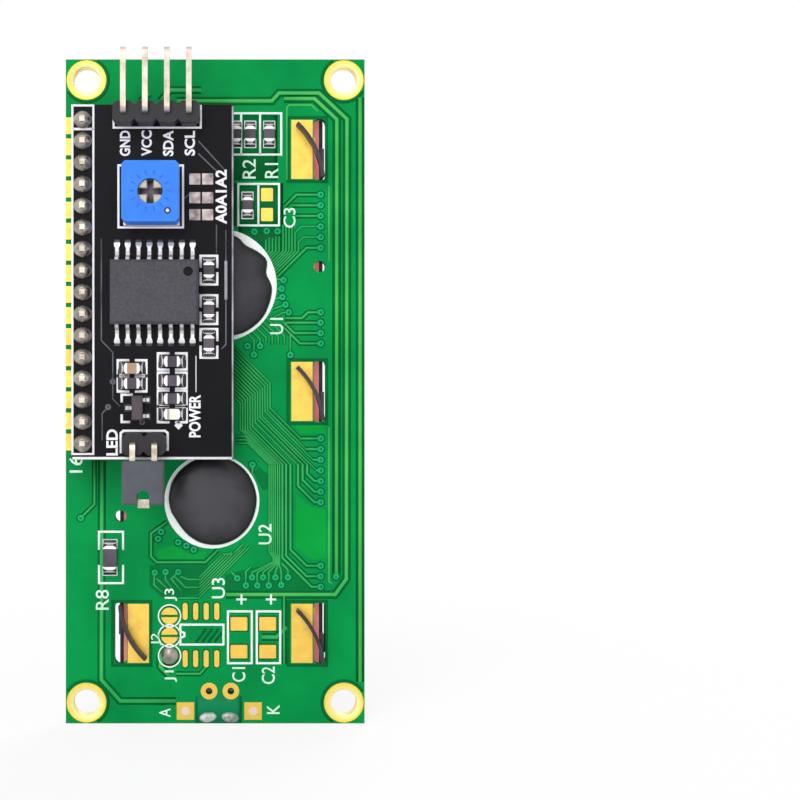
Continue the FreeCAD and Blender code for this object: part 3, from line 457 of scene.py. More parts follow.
# %% Striped rubber, display film and clear pieces
def striped_rubber_painted_glow():
    # The faint glow is painted light: it brightens the rubber where it lies deep in its slots and the lamps hardly
    # reach.
    finish = Finish("striped rubber", Roughness=0.6, Emission_Strength=0.35)
    x, y, z = split(finish, finish.place())
    waves = finish.node("ShaderNodeMath", {"operation": "SINE"}, {0: z * (2 * math.pi / 0.18)})
    pink = finish.blend(finish.noise(2.0), linear((244, 150, 146)), linear((232, 128, 128)))
    striped = finish.blend((waves > 0.6) * 0.35, pink, linear((120, 70, 74)))
    finish.set(Base_Color=striped, Emission_Color=striped)
    return finish.material


def display_film():
    """Deep blue film over the cell, painted lighter along its middle as a painted sheen. The character cells, two lines
    of sixteen, show only just lighter.
    """
    finish = Finish("blue display film", Specular_IOR_Level=0.05)
    x, y, z = split(finish, finish.place())
    low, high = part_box("front_polarizer")
    middle_x = (low.x + high.x) / 2 / MM
    # Painted sheen: the film is lighter near its middle and deeper blue towards its long edges.
    across = finish.spread(size_of(finish, x - middle_x), 2.0, 7.0)
    deep = finish.blend(across, linear((26, 24, 122)), linear((7, 9, 108)))
    pitch_z, cell_z, pitch_x, cell_x = 3.55, 2.95, 5.95, 5.35
    run = finish.node("ShaderNodeMath", {"operation": "PINGPONG"}, {0: z, 1: pitch_z / 2})
    climb = finish.node("ShaderNodeMath", {"operation": "PINGPONG"}, {0: x - middle_x - pitch_x / 2, 1: pitch_x / 2})
    inside = (run < cell_z / 2) * (climb < cell_x / 2)
    inside = inside * (size_of(finish, z) < 8 * pitch_z) * (size_of(finish, x - middle_x) < pitch_x)
    finish.set(Base_Color=finish.blend(inside * 0.05, deep, linear((40, 42, 150))))
    finish.set(Roughness=finish.spread(finish.noise(6.0), 0.3, 0.7, 0.14, 0.2))
    return finish.material


def clear(name, colour, rough):
    finish = Finish(name, IOR=1.5, Transmission_Weight=0.85)
    cloud = finish.noise(3.0, 2.0)
    finish.set(Base_Color=finish.blend(cloud, linear(colour), (1.0, 1.0, 1.0, 1.0)))
    finish.set(Roughness=finish.spread(cloud, 0.3, 0.7, rough, rough + 0.03))
    return finish.material


# %% [markdown]
# ## Dressing the CAD pieces
# The record names a material slot for each piece, so one table turns slots into finishes. A few pieces of one slot look
# different on the real object and get their own finish afterwards; the metal ends of the small parts and the adapter's
# pads are painted dark grey, a painted shade beside the bright solder.

# %% Every CAD node takes the finish of its material slot
finishes = {
    "solder_mask_green": mask_over_copper,
    "solder_mask_black": black_mask(),
    "gold_plate": gold,
    "tinned": tin,
    "pin_metal": pin_metal,
    "black_steel": black_steel(),
    "cell_glass": clear("cell glass", (214, 236, 232), 0.02),
    "blue_film": display_film(),
    "pink_rubber": striped_rubber_painted_glow(),
    "white_plastic": white_plastic,
    "clear_plastic": clear("light guide", (232, 240, 244), 0.08),
    "white_film": white_film,
    "black_resin": resin,
    "black_moulding": black_moulding,
    "grey_moulding": grey_moulding,
    "chip_ceramic": chip_black,
    "tan_ceramic": tan_ceramic,
    "blue_plastic": trimmer_blue(),
    "lamp_plastic": lamp_plastic,
}


def dress(obj, material):
    """Gives an object one finish."""
    obj.data.materials.clear()
    obj.data.materials.append(material)


for part in frame["record"]["subparts"]:
    dress(nodes[part["node"]], finishes[part["material_slot"]])
dress(nodes["expander_chip"], expander_grey())
dress(nodes["trimmer_rotor"], rotor_cream_painted_slot_shade())
dress(nodes["transistor_body"], transistor_black)
dress(nodes["address_pads"], dull_pad)
dress(nodes["supply_solder"], warm_solder)
dress(nodes["link_solder"], joint_solder)
# Painted shade: these metal ends and pads are dark grey.
for name in ("board_resistor_ends", "lamp_resistor_ends", "adapter_resistor_ends", "capacitor_ends",
             "power_lamp_ends", "adapter_pads"):
    dress(nodes[name], solder_painted_shade)
dress(nodes["expander_legs"], lead_metal)
dress(nodes["transistor_legs"], lead_metal)
print(len(nodes), "CAD nodes dressed in", len(finishes), "finishes")

# %% [markdown]
# ## Drawing on the boards
# Copper tracks and printed marks are thin layers. Each is drawn flat, as a curve or as text, and turned into a mesh.
# Then it is stood up on its face of the board, so that its height points at whoever looks at that face.

# %% Tools for flat drawings
faces = {"rear": (rear_face, 0.0), "front": (front_face, math.pi), "adapter": (adapter_face, 0.0)}


def alone(obj):
    """Only this object is selected and active."""
    bpy.ops.object.select_all(action="DESELECT")
    obj.select_set(True)
    bpy.context.view_layer.objects.active = obj


def settle(obj):
    """Leaves the object at the origin, unturned and unscaled, with its surface facing out."""
    alone(obj)
    bpy.ops.object.transform_apply(location=True, rotation=True, scale=True)
    bpy.ops.object.mode_set(mode="EDIT")
    bpy.ops.mesh.select_all(action="SELECT")
    bpy.ops.mesh.remove_doubles(threshold=0.0002 * MM)
    bpy.ops.mesh.normals_make_consistent(inside=False)
    bpy.ops.object.mode_set(mode="OBJECT")


def stand(obj, face, material, body="module"):
    """Stands a flat drawing up on a face and lets it move with a body."""
    depth, turn = faces[face]
    obj.rotation_euler = (math.pi / 2, 0.0, turn)
    obj.location = (0.0, depth * MM, 0.0)
    settle(obj)
    dress(obj, material)
    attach(obj, body)
    return obj


def join(pieces, name):
    """Several meshes become one."""
    alone(pieces[0])
    for piece in pieces[1:]:
        piece.select_set(True)
    bpy.ops.object.join()
    bpy.ops.object.transform_apply(location=True, rotation=True, scale=True)
    bpy.context.object.name = name
    return bpy.context.object


# %% [markdown]
# ## Lines
# A line is a path, swept with a small cross section whose top is narrower than its foot. The section is a curve too,
# and Blender sweeps it round every bend, which a row of boxes could not do without gaps.

# %% Lines of one width
def curve_of(name, paths, closed=False):
    """Flat curve through points given in millimetres."""
    data = bpy.data.curves.new(name, "CURVE")
    data.dimensions = "2D"
    data.fill_mode = "NONE"
    for path in paths:
        spline = data.splines.new("POLY")
        spline.points.add(len(path) - 1)
        for point, (x, y) in zip(spline.points, path):
            point.co = (x * MM, y * MM, 0.0, 1.0)
        spline.use_cyclic_u = closed
    drawn = bpy.data.objects.new(name, data)
    bpy.context.scene.collection.objects.link(drawn)
    return drawn


def lines(name, paths, width, low, high, material, face="rear", closed=False):
    """Lines of one width along their paths. Low and high are heights above the face."""
    side = -1 if face == "front" else 1
    top = width * 0.4
    section = curve_of("section", [[(-width / 2, low), (width / 2, low), (top, high), (-top, high)]], closed=True)
    drawn = curve_of(name, [[(side * x, z) for x, z in path] for path in paths], closed)
    drawn.data.bevel_mode = "OBJECT"
    drawn.data.bevel_object = section
    drawn.data.use_fill_caps = True
    alone(drawn)
    bpy.ops.object.convert(target="MESH")
    bpy.data.objects.remove(section)
    return stand(drawn, face, material)


# %% [markdown]
# ## Rings, discs and their copies
# What repeats is modelled once at the origin, and each copy gets its own mesh, its place and its turn. The copies are
# then joined, because they are one printed or plated layer.

# %% Copies, discs and slanting paths
def copies(pattern, places, name):
    """Copies of one finished pattern, joined. A place is across, up and, if it has one, a turn in degrees."""
    made = []
    for x, z, *turn in places:
        again = pattern.copy()
        again.data = pattern.data.copy()
        again.location = (x * MM, z * MM, 0.0)
        again.rotation_euler = (0.0, 0.0, math.radians(turn[0] if turn else 0.0))
        bpy.context.scene.collection.objects.link(again)
        made.append(again)
    bpy.data.objects.remove(pattern)
    return join(made, name)


def disc(radius, low, high, sides=12, hollow=0.0):
    """Flat disc with sloping sides, or a ring if hollow is its inner radius. It is drawn at the origin."""
    bpy.ops.object.select_all(action="DESELECT")
    bpy.ops.mesh.primitive_circle_add(vertices=sides, radius=radius * MM, fill_type="NGON",
                                      location=(0.0, 0.0, low * MM))
    alone(bpy.context.object)
    bpy.ops.object.transform_apply(location=True)
    bpy.ops.object.mode_set(mode="EDIT")
    bpy.ops.mesh.select_all(action="SELECT")
    bpy.ops.mesh.extrude_region_move(TRANSFORM_OT_translate={"value": (0.0, 0.0, (high - low) * MM)})
    bpy.ops.mesh.inset(thickness=radius * 0.08 * MM)
    if hollow:
        bpy.ops.mesh.inset(thickness=(radius * 0.92 - hollow) * MM)
        bpy.ops.mesh.extrude_region_move(TRANSFORM_OT_translate={"value": (0.0, 0.0, (low - high) * MM)})
    bpy.ops.object.mode_set(mode="OBJECT")
    return bpy.context.object


def slant(start, steps):
    """Path from a start through steps, each (across, up)."""
    path = [start]
    for across, up in steps:
        path.append((path[-1][0] + across, path[-1][1] + up))
    return path


# %% [markdown]
# ## Tracks under the green mask
# The copper was etched in one sheet. A track in a filled area is what is left between two etched lines, so it shows as
# a light line with a dark border. Each track is therefore drawn as two ribbons: a wide dark one that lies almost
# flush, and a narrow light one on top of it. Only the paths are written down here. They follow a few rules of the
# board's designer, 45 degree bends and rows of holes 1.27 mm apart, so most of them come out of short loops.

# %% Tracks on the component side
via_x = 12.7
top_vias = [23.7 - 1.28 * i for i in range(6)]
ring_vias = [9.53 - 1.25 * i for i in range(4)]
bus_vias = [-5.67 - 1.28 * i for i in range(7)]
low_vias = [-21.0 - 1.27 * i for i in range(3)]

outer_loop = [(-4.6, 34.99), (6.84, 34.99), (7.69, 35.95), (12.51, 35.95), (15.88, 32.82), (15.8, -22.6),
              (14.46, -24.47), (1.3, -24.47)]
inner_loop = [(8.29, 35.28), (11.95, 35.28), (14.65, 32.78), (14.6, -22.34)]
loops = [outer_loop, inner_loop, [(17.45, 35.4), (17.45, -35.0)]]
area_edges = [[(12.4, 33.7), (11.6, 34.5), (8.9, 34.5), (8.63, 34.2), (8.63, 25.5)], [(13.71, 24.8), (13.71, 15.7)],
              [(13.71, -4.3), (13.71, -22.9), (14.12, -23.2)]]
print("loops", len(loops))

fan_bend = 16.9
fan_starts = [(6.1, 18.3), (6.5, 18.5), (6.9, 18.5), (7.3, 18.7), (7.7, 18.7), (8.17, 20.1), (8.53, 20.1), (8.9, 20.1),
              (9.25, 20.1)]
fan_in = [[(x, top), (x, fan_bend), (x - 0.7 - 0.2 * i, fan_bend - 0.7 - 0.2 * i)]
          for i, (x, top) in enumerate(fan_starts)]
for x, via_z, corner in ((9.62, top_vias[3], 0.75), (10.03, top_vias[4], 0.6)):
    fan_in.append([(via_x, via_z), (x + corner, via_z), (x, via_z - corner), (x, fan_bend), (x - 2.7, fan_bend - 2.7)])
from_vias = [
    slant((via_x, top_vias[0]), [(-2.93, 0.0), (-1.36, -1.36)]),
    slant((via_x, top_vias[1]), [(-3.4, 0.0)]),
    slant((via_x, top_vias[2]), [(-3.0, 0.0)]),
    slant((via_x, top_vias[5]), [(-1.7, 0.0), (-3.5, -3.5)]),
    slant((via_x, ring_vias[0]), [(-1.52, 0.0), (-0.7, -0.7), (-2.05, 0.0)]),
    slant((via_x, ring_vias[1]), [(-4.29, 0.0)]),
    slant((via_x, ring_vias[2]), [(-3.2, 0.0), (-1.3, 1.3)]),
    slant((via_x, ring_vias[3]), [(-2.5, 0.0), (-1.9, 1.9)]),
]
print("lines into the upper drop", len(fan_in) + len(from_vias))

# %% [markdown]
# ## The bus beside the drops
# Thirteen lines leave the upper chip together and run down to the lower one. They turn at the same angle one after
# the other, so that their distance stays the same: each bend lies on one slanting line. A loop places that bend and
# closes each path at its own end, which keeps the bundle even, as lines placed by hand would not be.

# %% Lines out of the upper drop, and the bus below them
drop_out_ends = ((4.44, 6.2, 1.0), (5.47, 6.3, 1.2), (5.9, 6.5, 1.4), (5.6, 6.7, 1.7), (5.6, 6.6, 2.2), (5.6, 6.7, 2.6),
                 (4.39, 6.9, 1.4))
drop_out = [slant((4.67 + 0.73 * i, end), [(0.0, bend - end), (-reach, reach)])
            for i, (end, bend, reach) in enumerate(drop_out_ends)]
drop_stubs = [[(8.22, 13.42), (7.2, 13.6)], [(7.99, 12.37), (7.1, 12.3)], [(8.08, 11.36), (7.1, 11.1)],
              [(8.46, 10.45), (6.9, 9.9)], [(8.84, 9.53), (8.2, 9.5), (6.6, 8.7)]]

bus_ends = [(10.29, bus_vias[0]), (10.94, bus_vias[1]), (11.78, bus_vias[2]), (12.2, bus_vias[3]), (11.06, -8.78),
            (10.54, -8.8)] + [(x, -8.8) for x in (9.86, 9.07, 8.53, 8.1, 7.75, 7.5, 7.22)]
bus_lines = []
for i, (end_x, end_z) in enumerate(bus_ends):
    bend_x = 6.6 - 0.3 * i
    start = (2.0, 5.6 - 0.5 * i)
    middle = (bend_x, start[1] - bend_x + start[0])
    bus_lines.append([start, middle, (bend_x, end_z + end_x - bend_x), (end_x, end_z)])
bus_out = [[(end_x, z), (via_x, z)] for end_x, z in bus_ends[:4]]
bus_low = bus_ends[-1][1]
turns = []
for i, z in enumerate(bus_vias[4:]):
    corner = 0.87 + 0.55 * i
    turns.append(slant((via_x, z), [(-0.75, 0.0), (-corner, corner), (0.0, bus_low - z - corner)]))
low_bus = []
for i, x in enumerate((6.98, 6.74, 6.5)):
    z = -5.4 - 0.42 * i
    low_bus.append([(2.4, z), (x - z + bus_low, z), (x, bus_low)])
print("bus", len(bus_lines) + len(low_bus), "lines")

# %% [markdown]
# ## Falling lines
# Beside the lower drop the bus runs straight down, narrows to a waist and spreads out to two staggered rows of holes.
# The holes are staggered because they are wider than the distance of the lines. Each path is given by its hole, and
# the loop works out where it leaves the bundle.

# %% The lines that fall beside the lower drop and spread out to their holes
low_out = []
for (x, _), via_z in zip(bus_ends[7:10], low_vias):
    run = 1.7 if via_z > low_vias[2] else 1.1
    corner = via_x - run - x
    low_out.append([(via_x, via_z), (via_x - run, via_z), (x, via_z + corner), (x, bus_low)])
fall_ends = [(4.43, -22.39), (5.07, -23.37), (5.76, -22.39), (6.45, -23.37), (7.25, -22.39), (7.95, -23.31)]
falls = []
for i, ((end_x, end_z), x) in enumerate(zip(fall_ends, (6.5, 6.74, 6.98, 7.22, 7.5, 7.75))):
    waist = 7.0 + 0.15 * i
    falls.append([(x, bus_low), (x, -19.3), (waist, -20.1), (waist, -20.5 - 0.1 * i),
                  (end_x + (waist - end_x) * 0.3, -21.45), (end_x, -21.8), (end_x, end_z)])
falls += [[(3.69, -23.37), (3.69, -21.7), (4.3, -21.1)], [(8.76, -22.39), (8.76, -21.5), (8.0, -20.7)],
          [(2.65, -22.51), (1.9, -21.7)]]
stripes = [slant((-1.9, -22.4 - 0.4 * i), [(2.8 + 0.55 * i, 2.8 + 0.55 * i)]) for i in range(7)]
stripes += [[(0.82, -19.6), (2.15, -19.6), (3.4, -18.35)], [(-4.5, -24.9), (-1.95, -24.9)]]
fine_tracks = fan_in + drop_out + drop_stubs + bus_lines + low_bus + falls + stripes
right_tracks = from_vias + bus_out + turns + low_out
print("falling lines", len(falls) + len(low_out), "slanting lines", len(stripes))

# %% [markdown]
# ## Single tracks, and drawing them all
# The other tracks go their own way and are written point by point. All paths of one width are then drawn as one
# object, so that the board carries a handful of pieces and not a hundred. Borders are drawn a little lower than their
# tracks, and the widest lines, which carry the supply, come last and highest.

# %% More tracks: left of the drops and near the lower edge
left_tracks = [
    [(-14.55, -8.3), (-14.55, -13.6), (-16.2, -15.25)],
    [(-5.84, -15.76), (-7.73, -17.1), (-7.73, -19.9), (-7.05, -20.58), (-1.17, -20.58), (0.31, -19.1)],
    [(8.29, -24.65), (8.29, -32.84)],
    [(-1.12, -33.2), (-1.83, -34.02), (-4.72, -34.02)],
    [(4.49, -8.84), (4.49, -9.9)],
]
hole_tracks = [
    [(-7.3, -21.8), (-7.39, -23.3), (-6.25, -24.3)], [(-7.1, -22.5), (-5.84, -23.7)],
    [(-5.98, -21.76), (-6.0, -22.7), (-5.1, -23.8)], [(-4.46, -21.76), (-5.3, -22.6), (-4.1, -24.0)],
    [(-4.2, -22.3), (-3.3, -22.65), (-1.6, -22.65)], [(-5.0, -22.2), (-3.6, -23.6), (-2.0, -23.6)],
]
fine_tracks += hole_tracks
long_track = [(-13.65, -8.35), (-13.72, -34.72), (-11.43, -37.3), (-4.75, -37.3)]

border_width, track_width, wide_width, fine_width = 0.62, 0.24, 0.42, 0.17
lines("fine_borders", fine_tracks, fine_width + 0.22, 0.0, 0.011, mask_between)
lines("fine_tracks", fine_tracks, fine_width, 0.004, 0.036, mask_over_fine)
lines("track_borders", right_tracks + left_tracks, border_width, 0.0, 0.012, mask_over_laminate)
lines("tracks", right_tracks + left_tracks, track_width, 0.004, 0.04, mask_over_fine)
lines("loop_borders", loops, wide_width + 0.6, 0.0, 0.012, mask_over_laminate)
lines("loop_tracks", loops, wide_width, 0.004, 0.045, mask_over_track)
lines("area_edges", area_edges, 0.2, 0.0, 0.03, mask_over_track)
print("component side tracks drawn")

# %% [markdown]
# ## Quiet tracks and areas
# Where a track crosses a full area of copper, its colour hardly differs from the copper round it, and only its two
# dark borders show. Elsewhere the copper under the mask is thinner or missing in a whole area, which looks lighter or
# darker. An area is a closed outline, filled flat and given a height of a hundredth of a millimetre, so that it hides
# no track.

# %% Tracks that are as green as the copper round them
plain_tracks = [long_track, [(-9.0, 34.9), (-8.0, 35.9)], [(-6.6, 35.0), (-5.4, 36.3), (-1.7, 36.3)],
                [(-6.6, -31.6), (-6.6, -33.2), (-5.6, -34.2)], [(5.6, -29.6), (7.4, -29.6), (8.6, -28.4)]]
lines("plain_track_borders", plain_tracks, 0.95, 0.0, 0.011, mask_over_laminate)
lines("plain_tracks", plain_tracks, 0.45, 0.0, 0.03, mask_over_fine)
print(len(plain_tracks), "quiet tracks")

# %% Lighter and darker areas
def area(name, outlines, high, material, face="rear"):
    """Thin filled shapes, whose outlines are closed."""
    drawn = curve_of(name, outlines, closed=True)
    drawn.data.fill_mode = "BOTH"
    drawn.data.extrude = high / 2 * MM
    alone(drawn)
    bpy.ops.object.convert(target="MESH")
    drawn.location = (0.0, 0.0, high / 2 * MM)
    bpy.ops.object.transform_apply(location=True, rotation=True, scale=True)
    return stand(drawn, face, material)


bright_areas = [
    [(9.73, -12.36), (11.7, -13.98), (13.3, -14.2), (13.3, -20.07), (11.58, -20.31), (9.73, -18.82)],
    [(9.46, -4.01), (13.3, -3.6), (13.3, -5.06), (10.4, -5.06)],
    [(-7.05, -19.1), (-5.05, -18.5), (-3.15, -19.6), (-1.0, -19.3), (-1.4, -20.15), (-6.9, -20.15)],
]
dark_areas = [
    [(4.67, -9.9), (5.16, -9.0), (6.3, -9.9), (6.3, -11.8), (5.76, -11.9), (5.16, -11.0)],
    [(1.2, -22.1), (3.0, -21.6), (6.4, -20.9), (8.4, -20.7), (10.6, -22.9), (11.7, -23.9), (1.2, -23.9)],
    [(-7.93, -20.95), (-0.5, -20.95), (-1.83, -22.3), (-1.95, -24.5), (-4.5, -24.8), (-6.4, -24.8), (-7.93, -23.4)],
]
area("bright_areas", bright_areas, 0.008, bright_mask)
area("dark_areas", dark_areas, 0.009, mask_between)
lines("chip_hatch", [slant((-2.3 + 0.75 * i, -30.2), [(1.2, 1.6)]) for i in range(4)], 0.3, 0.0, 0.013,
      mask_over_laminate)
print("areas drawn")

# %% [markdown]
# ## Bare areas
# Round the small parts and beside the upper chip there is no copper at all, so the mask lies on the pale board and
# looks darker. These areas are plain upright strips, so one broad line draws each of them.

# %% Bare areas, where the copper was etched away
bare_areas = [[(4.4, 33.6), (4.4, 25.4)], [(5.1, 25.1), (5.1, 19.9)]]
lines("bare_areas", bare_areas, 6.2, 0.0, 0.01, mask_over_laminate)
lines("drop_bare_area", [[(5.4, 19.9), (5.4, 15.9)]], 5.2, 0.0, 0.01, mask_over_laminate)
print(len(bare_areas) + 1, "bare areas")

# %% [markdown]
# ## Plated through holes
# Where a track changes to the other side it passes a tiny plated hole. Its ring stands up a little under the mask and
# has a dark border, where the copper round it was etched away. One ring is modelled from a circle that is extruded
# and inset, and copied to every place.

# %% Plated through holes under the mask
via_places = [(via_x, z) for z in top_vias + ring_vias + bus_vias + low_vias]
via_places += [(4.72, 19.24), (6.2, 19.33), (7.51, 19.29), (8.22, 13.42), (7.99, 12.37), (8.08, 11.36),
               (8.46, 10.45), (8.84, 9.53), (14.57, -22.3), (3.9, 5.47), (4.67, 4.44), (5.4, 5.47), (9.05, 4.39),
               (4.49, -8.84),
               (-16.2, -15.25), (-6.53, -16.92), (-6.87, -17.75), (-4.46, -18.17), (-3.48, -18.58),
               (-2.59, -19.06), (-7.29, -21.83), (-5.98, -21.76), (-4.46, -21.76), (2.65, -22.51),
               (4.43, -22.39), (5.76, -22.39), (7.25, -22.39), (8.76, -22.39), (3.69, -23.37), (5.07, -23.37),
               (6.45, -23.37), (7.95, -23.31)]
via_border = copies(disc(0.56, 0.001, 0.013), via_places, "via_borders")
stand(via_border, "rear", mask_over_laminate)
via_rings = copies(disc(0.38, 0.004, 0.06, hollow=0.17), via_places, "via_rings")
stand(via_rings, "rear", mask_over_via)
print(len(via_places), "through holes on the component side")

# %% [markdown]
# ## Corner arcs
# The copper area keeps clear of the four fixing rings, which shows as a dark arc on the side away from the corner.
# One arc is worked out from its radius and mirrored to the four corners.

# %% Dark arcs where the mask stops short of the corner rings
arc_radius = 2.66
arc_turns = [math.radians(-60 + 11.6 * i) for i in range(19)]
corner_arcs = [[(side_x * (hole_x - arc_radius * math.cos(turn)), side_z * (hole_z - arc_radius * math.sin(turn)))
                for turn in arc_turns] for side_x in (-1, 1) for side_z in (-1, 1)]
lines("corner_arcs", corner_arcs, 0.34, 0.0, 0.02, mask_over_laminate)
print("four arcs of", len(arc_turns), "points")

# %% [markdown]
# ## Tracks on the display side
# On this side only the margins round the steel frame can be seen. A few long tracks run up them, and a comb of short
# lines leads to the rubber strip under the frame. They are drawn with the same two ribbons as on the component side.

# %% Tracks on the display side
front_tracks = [
    [(12.5, -34.9), (14.46, -32.8), (14.46, -22.6), (14.0, -22.1), (13.5, -22.6), (13.5, -31.7)],
    [(-12.5, -34.8), (-15.96, -31.7), (-15.96, -14.5)],
    [(-12.2, -33.9), (-14.16, -31.0), (-14.16, -6.6)],
    [(17.31, -35.0), (17.31, 35.0)],
    [(-12.3, 8.9), (-12.9, 9.5), (-12.9, 33.6), (-12.2, 34.6)],
    [(-9.0, 37.9), (9.0, 37.9)],
]
comb = [[(13.9, 34.0 - 0.62 * i), (16.3, 34.0 - 0.62 * i)] for i in range(46)]
lines("front_comb", comb, 0.16, 0.0, 0.01, mask_over_laminate, face="front")
lines("front_borders", front_tracks, border_width, 0.0, 0.012, mask_over_laminate, face="front")
lines("front_tracks", front_tracks, track_width, 0.004, 0.04, mask_over_track, face="front")
print("display side tracks drawn")

# %% [markdown]
# ## Printed marks
# White marks are printed on the mask through a screen, so they stand a few hundredths of a millimetre high and have
# one line width. The board was designed lying on its long side, so its letters read upwards when it stands. Each mark
# is made from text of a known capital height and length, turned into a mesh.

# %% Tools for printed marks
def rectangle(left, right, low, high):
    """Closed path round a rectangle."""
    return [(left, low), (right, low), (right, high), (left, high)]


def brackets(x, z, width, height, reach):
    """Two facing brackets, above and below a small part."""
    paths = []
    for end in (1, -1):
        tip = z + end * height / 2
        paths.append([(x - width / 2, tip - end * reach), (x - width / 2, tip), (x + width / 2, tip),
                      (x + width / 2, tip - end * reach)])
    return paths


def lettering(name, marks, material, face="rear", turn=90.0, rise=0.06, weight=0.028):
    """Printed text. Each mark is its text, its middle across and up, its capital height and its length."""
    side = -1 if face == "front" else 1
    made = []
    for text, x, z, capital, length in marks:
        data = bpy.data.curves.new(name, "FONT")
        data.body = text
        data.align_x = "CENTER"
        data.resolution_u = 3
        data.size = capital * 1.4 * MM
        data.extrude = rise / 2 * MM
        data.offset = capital * weight * MM
        drawn = bpy.data.objects.new(name, data)
        bpy.context.scene.collection.objects.link(drawn)
        alone(drawn)
        bpy.ops.object.convert(target="MESH")
        drawn.scale = (length * MM / drawn.dimensions.x, capital * MM / drawn.dimensions.y, 1.0)
        bpy.ops.object.transform_apply(location=False, rotation=False, scale=True)
        bpy.ops.object.origin_set(type="ORIGIN_GEOMETRY", center="BOUNDS")
        drawn.rotation_euler = (0.0, 0.0, math.radians(turn))
        drawn.location = (side * x * MM, z * MM, rise / 2 * MM)
        bpy.ops.object.transform_apply(location=True, rotation=True, scale=True)
        made.append(drawn)
    return stand(join(made, name), face, material)


# %% [markdown]
# ## Marks on the component side
# Boxes show where the parts sit and brackets show the two ends of a chip part. The letters tell which part belongs
# there. Each letter mark is scaled to the height and length read off the photo, because the board's own typeface is
# narrower than the one used here.

# %% Marks on the component side
silk_width, silk_rise = 0.27, 0.06
board_boxes = [
    rectangle(1.0, 7.96, 28.53, 33.5),
    rectangle(2.77, 7.69, 19.99, 24.99),
    rectangle(1.54, 4.4, -32.75, -26.5),
    rectangle(5.01, 7.84, -32.75, -26.5),
    [(-4.2, -30.5), (1.0, -30.5), (1.0, -28.1), (-4.2, -28.1), (-4.2, -28.9), (-3.7, -29.1), (-3.7, -29.5),
     (-4.2, -29.7)],
]
board_strokes = [[(3.13, 28.53), (3.13, 33.5)], [(5.41, 28.53), (5.41, 33.5)], [(5.2, 19.99), (5.2, 24.99)]]
board_strokes += brackets(-12.55, -20.0, 2.9, 6.2, 2.2)
lines("board_print_boxes", board_boxes, silk_width, 0.0, silk_rise, ink, closed=True)
lines("board_print_lines", board_strokes, silk_width, 0.0, silk_rise, ink)

print(len(board_boxes) + len(board_strokes), "boxes and strokes")

# %% Letters on the component side
letter = 1.6
lettering("board_print_letters", [
    ("R2", 4.07, 26.8, letter, 2.35), ("R1", 6.78, 26.6, letter, 1.8), ("C3", 8.95, 20.9, 1.45, 2.4),
    ("R8", -13.6, -25.1, letter, 2.4), ("+", 3.17, -25.05, 1.25, 1.25), ("+", 6.72, -25.05, 1.25, 1.25),
    ("C1", 2.84, -34.1, letter, 1.75), ("C2", 6.4, -34.2, letter, 2.1), ("U3", 0.38, -23.7, letter, 2.45),
    ("J3", -5.35, -24.5, 1.5, 1.5), ("J2", -7.1, -29.85, 1.25, 1.5), ("J1", -5.35, -34.3, 1.45, 1.4),
    ("A", -6.05, -38.7, 1.35, 1.05), ("K", 7.0, -38.3, 1.5, 1.1), ("16", -16.77, -8.79, letter, 2.0),
    ("U1", 7.4, 7.87, letter, 1.95), ("U2", 6.0, -17.2, letter, 2.45),
], letter_ink, weight=0.008)

link_rings = copies(disc(1.42, 0.0, silk_rise, 24, hollow=1.27), [(-5.5, -27.05), (-5.5, -29.45), (-5.5, -31.85)],
                    "link_print_rings")
stand(link_rings, "rear", ink)
print("component side printed")

# %% [markdown]
# ## Patches
# A round white patch is printed before the resin is poured, and stops it from running further. The resin covers all
# but a thin rim of it. At the lower edge a strip without copper lies between the two supply points.

# %% White patches under the resin drops, and the bare patch at the lower edge
upper_drop = (0.65, 12.8)
lower_drop = (-0.4, -13.2)
patches = [stand(copies(disc(radius, 0.0, 0.055, 64), [place], name), "rear", ink)
           for name, place, radius in (("upper_drop_patch", upper_drop, 6.75), ("lower_drop_patch", lower_drop, 5.72))]
lines("lamp_bare_patch", [[(0.42, -36.7), (0.42, -39.97)]], 5.55, 0.0, 0.014, mask_over_strip)
print(len(patches), "patches")

# %% [markdown]
# ## The adapter board
# The small board has the same kinds of mark in heavier lines. Two of its parts lie upright and six lie flat, so their
# brackets come from two lists of middles, which the solder uses again further down. Its tracks show only as faint
# ridges, because its mask is black.

# %% Marks and tracks on the adapter board
adapter_boxes = [
    rectangle(-16.8, -14.34, -7.37, 33.65),
    rectangle(-11.95, -1.7, 31.05, 33.6),
    rectangle(-11.39, -3.79, 19.3, 26.6),
]
adapter_strokes = [[(-16.8, 30.88), (-14.34, 30.88)], [(2.02, -7.86), (-16.8, -7.86)],
                   [(-11.1, -7.3), (-11.1, -4.9), (-10.8, -4.65), (-5.9, -4.65), (-5.6, -4.9), (-5.6, -7.0)],
                   [(-11.0, -1.3), (-11.0, -0.4), (-9.7, -0.4)], [(-11.0, -2.7), (-11.0, -3.6), (-10.0, -3.6)]]
upright_chips = [(-0.74, 14.27), (-0.74, 9.62), (-0.74, 5.65)]
for x, z in upright_chips:
    adapter_strokes += brackets(x, z, 1.95, 3.35, 1.42)
flat_chips = [(-9.78, 2.71), (-9.78, 0.94), (-5.05, 3.52), (-5.05, 1.26), (-5.05, -0.85), (-5.05, -2.68)]
for x, z in flat_chips:
    for end in (1, -1):
        tip = x + end * 1.68
        adapter_strokes.append([(tip - end * 1.36, z - 0.95), (tip, z - 0.95), (tip, z + 0.95),
                                (tip - end * 1.36, z + 0.95)])
adapter_rise = 0.05
lines("adapter_print_boxes", adapter_boxes, 0.26, 0.0, adapter_rise, adapter_ink, "adapter", closed=True)
lines("adapter_print_lines", adapter_strokes, 0.31, 0.0, adapter_rise, adapter_ink, "adapter")
lines("adapter_edge_line", [[(2.05, 33.6), (2.05, -7.8)]], 0.2, 0.0, adapter_rise, edge_ink, "adapter")
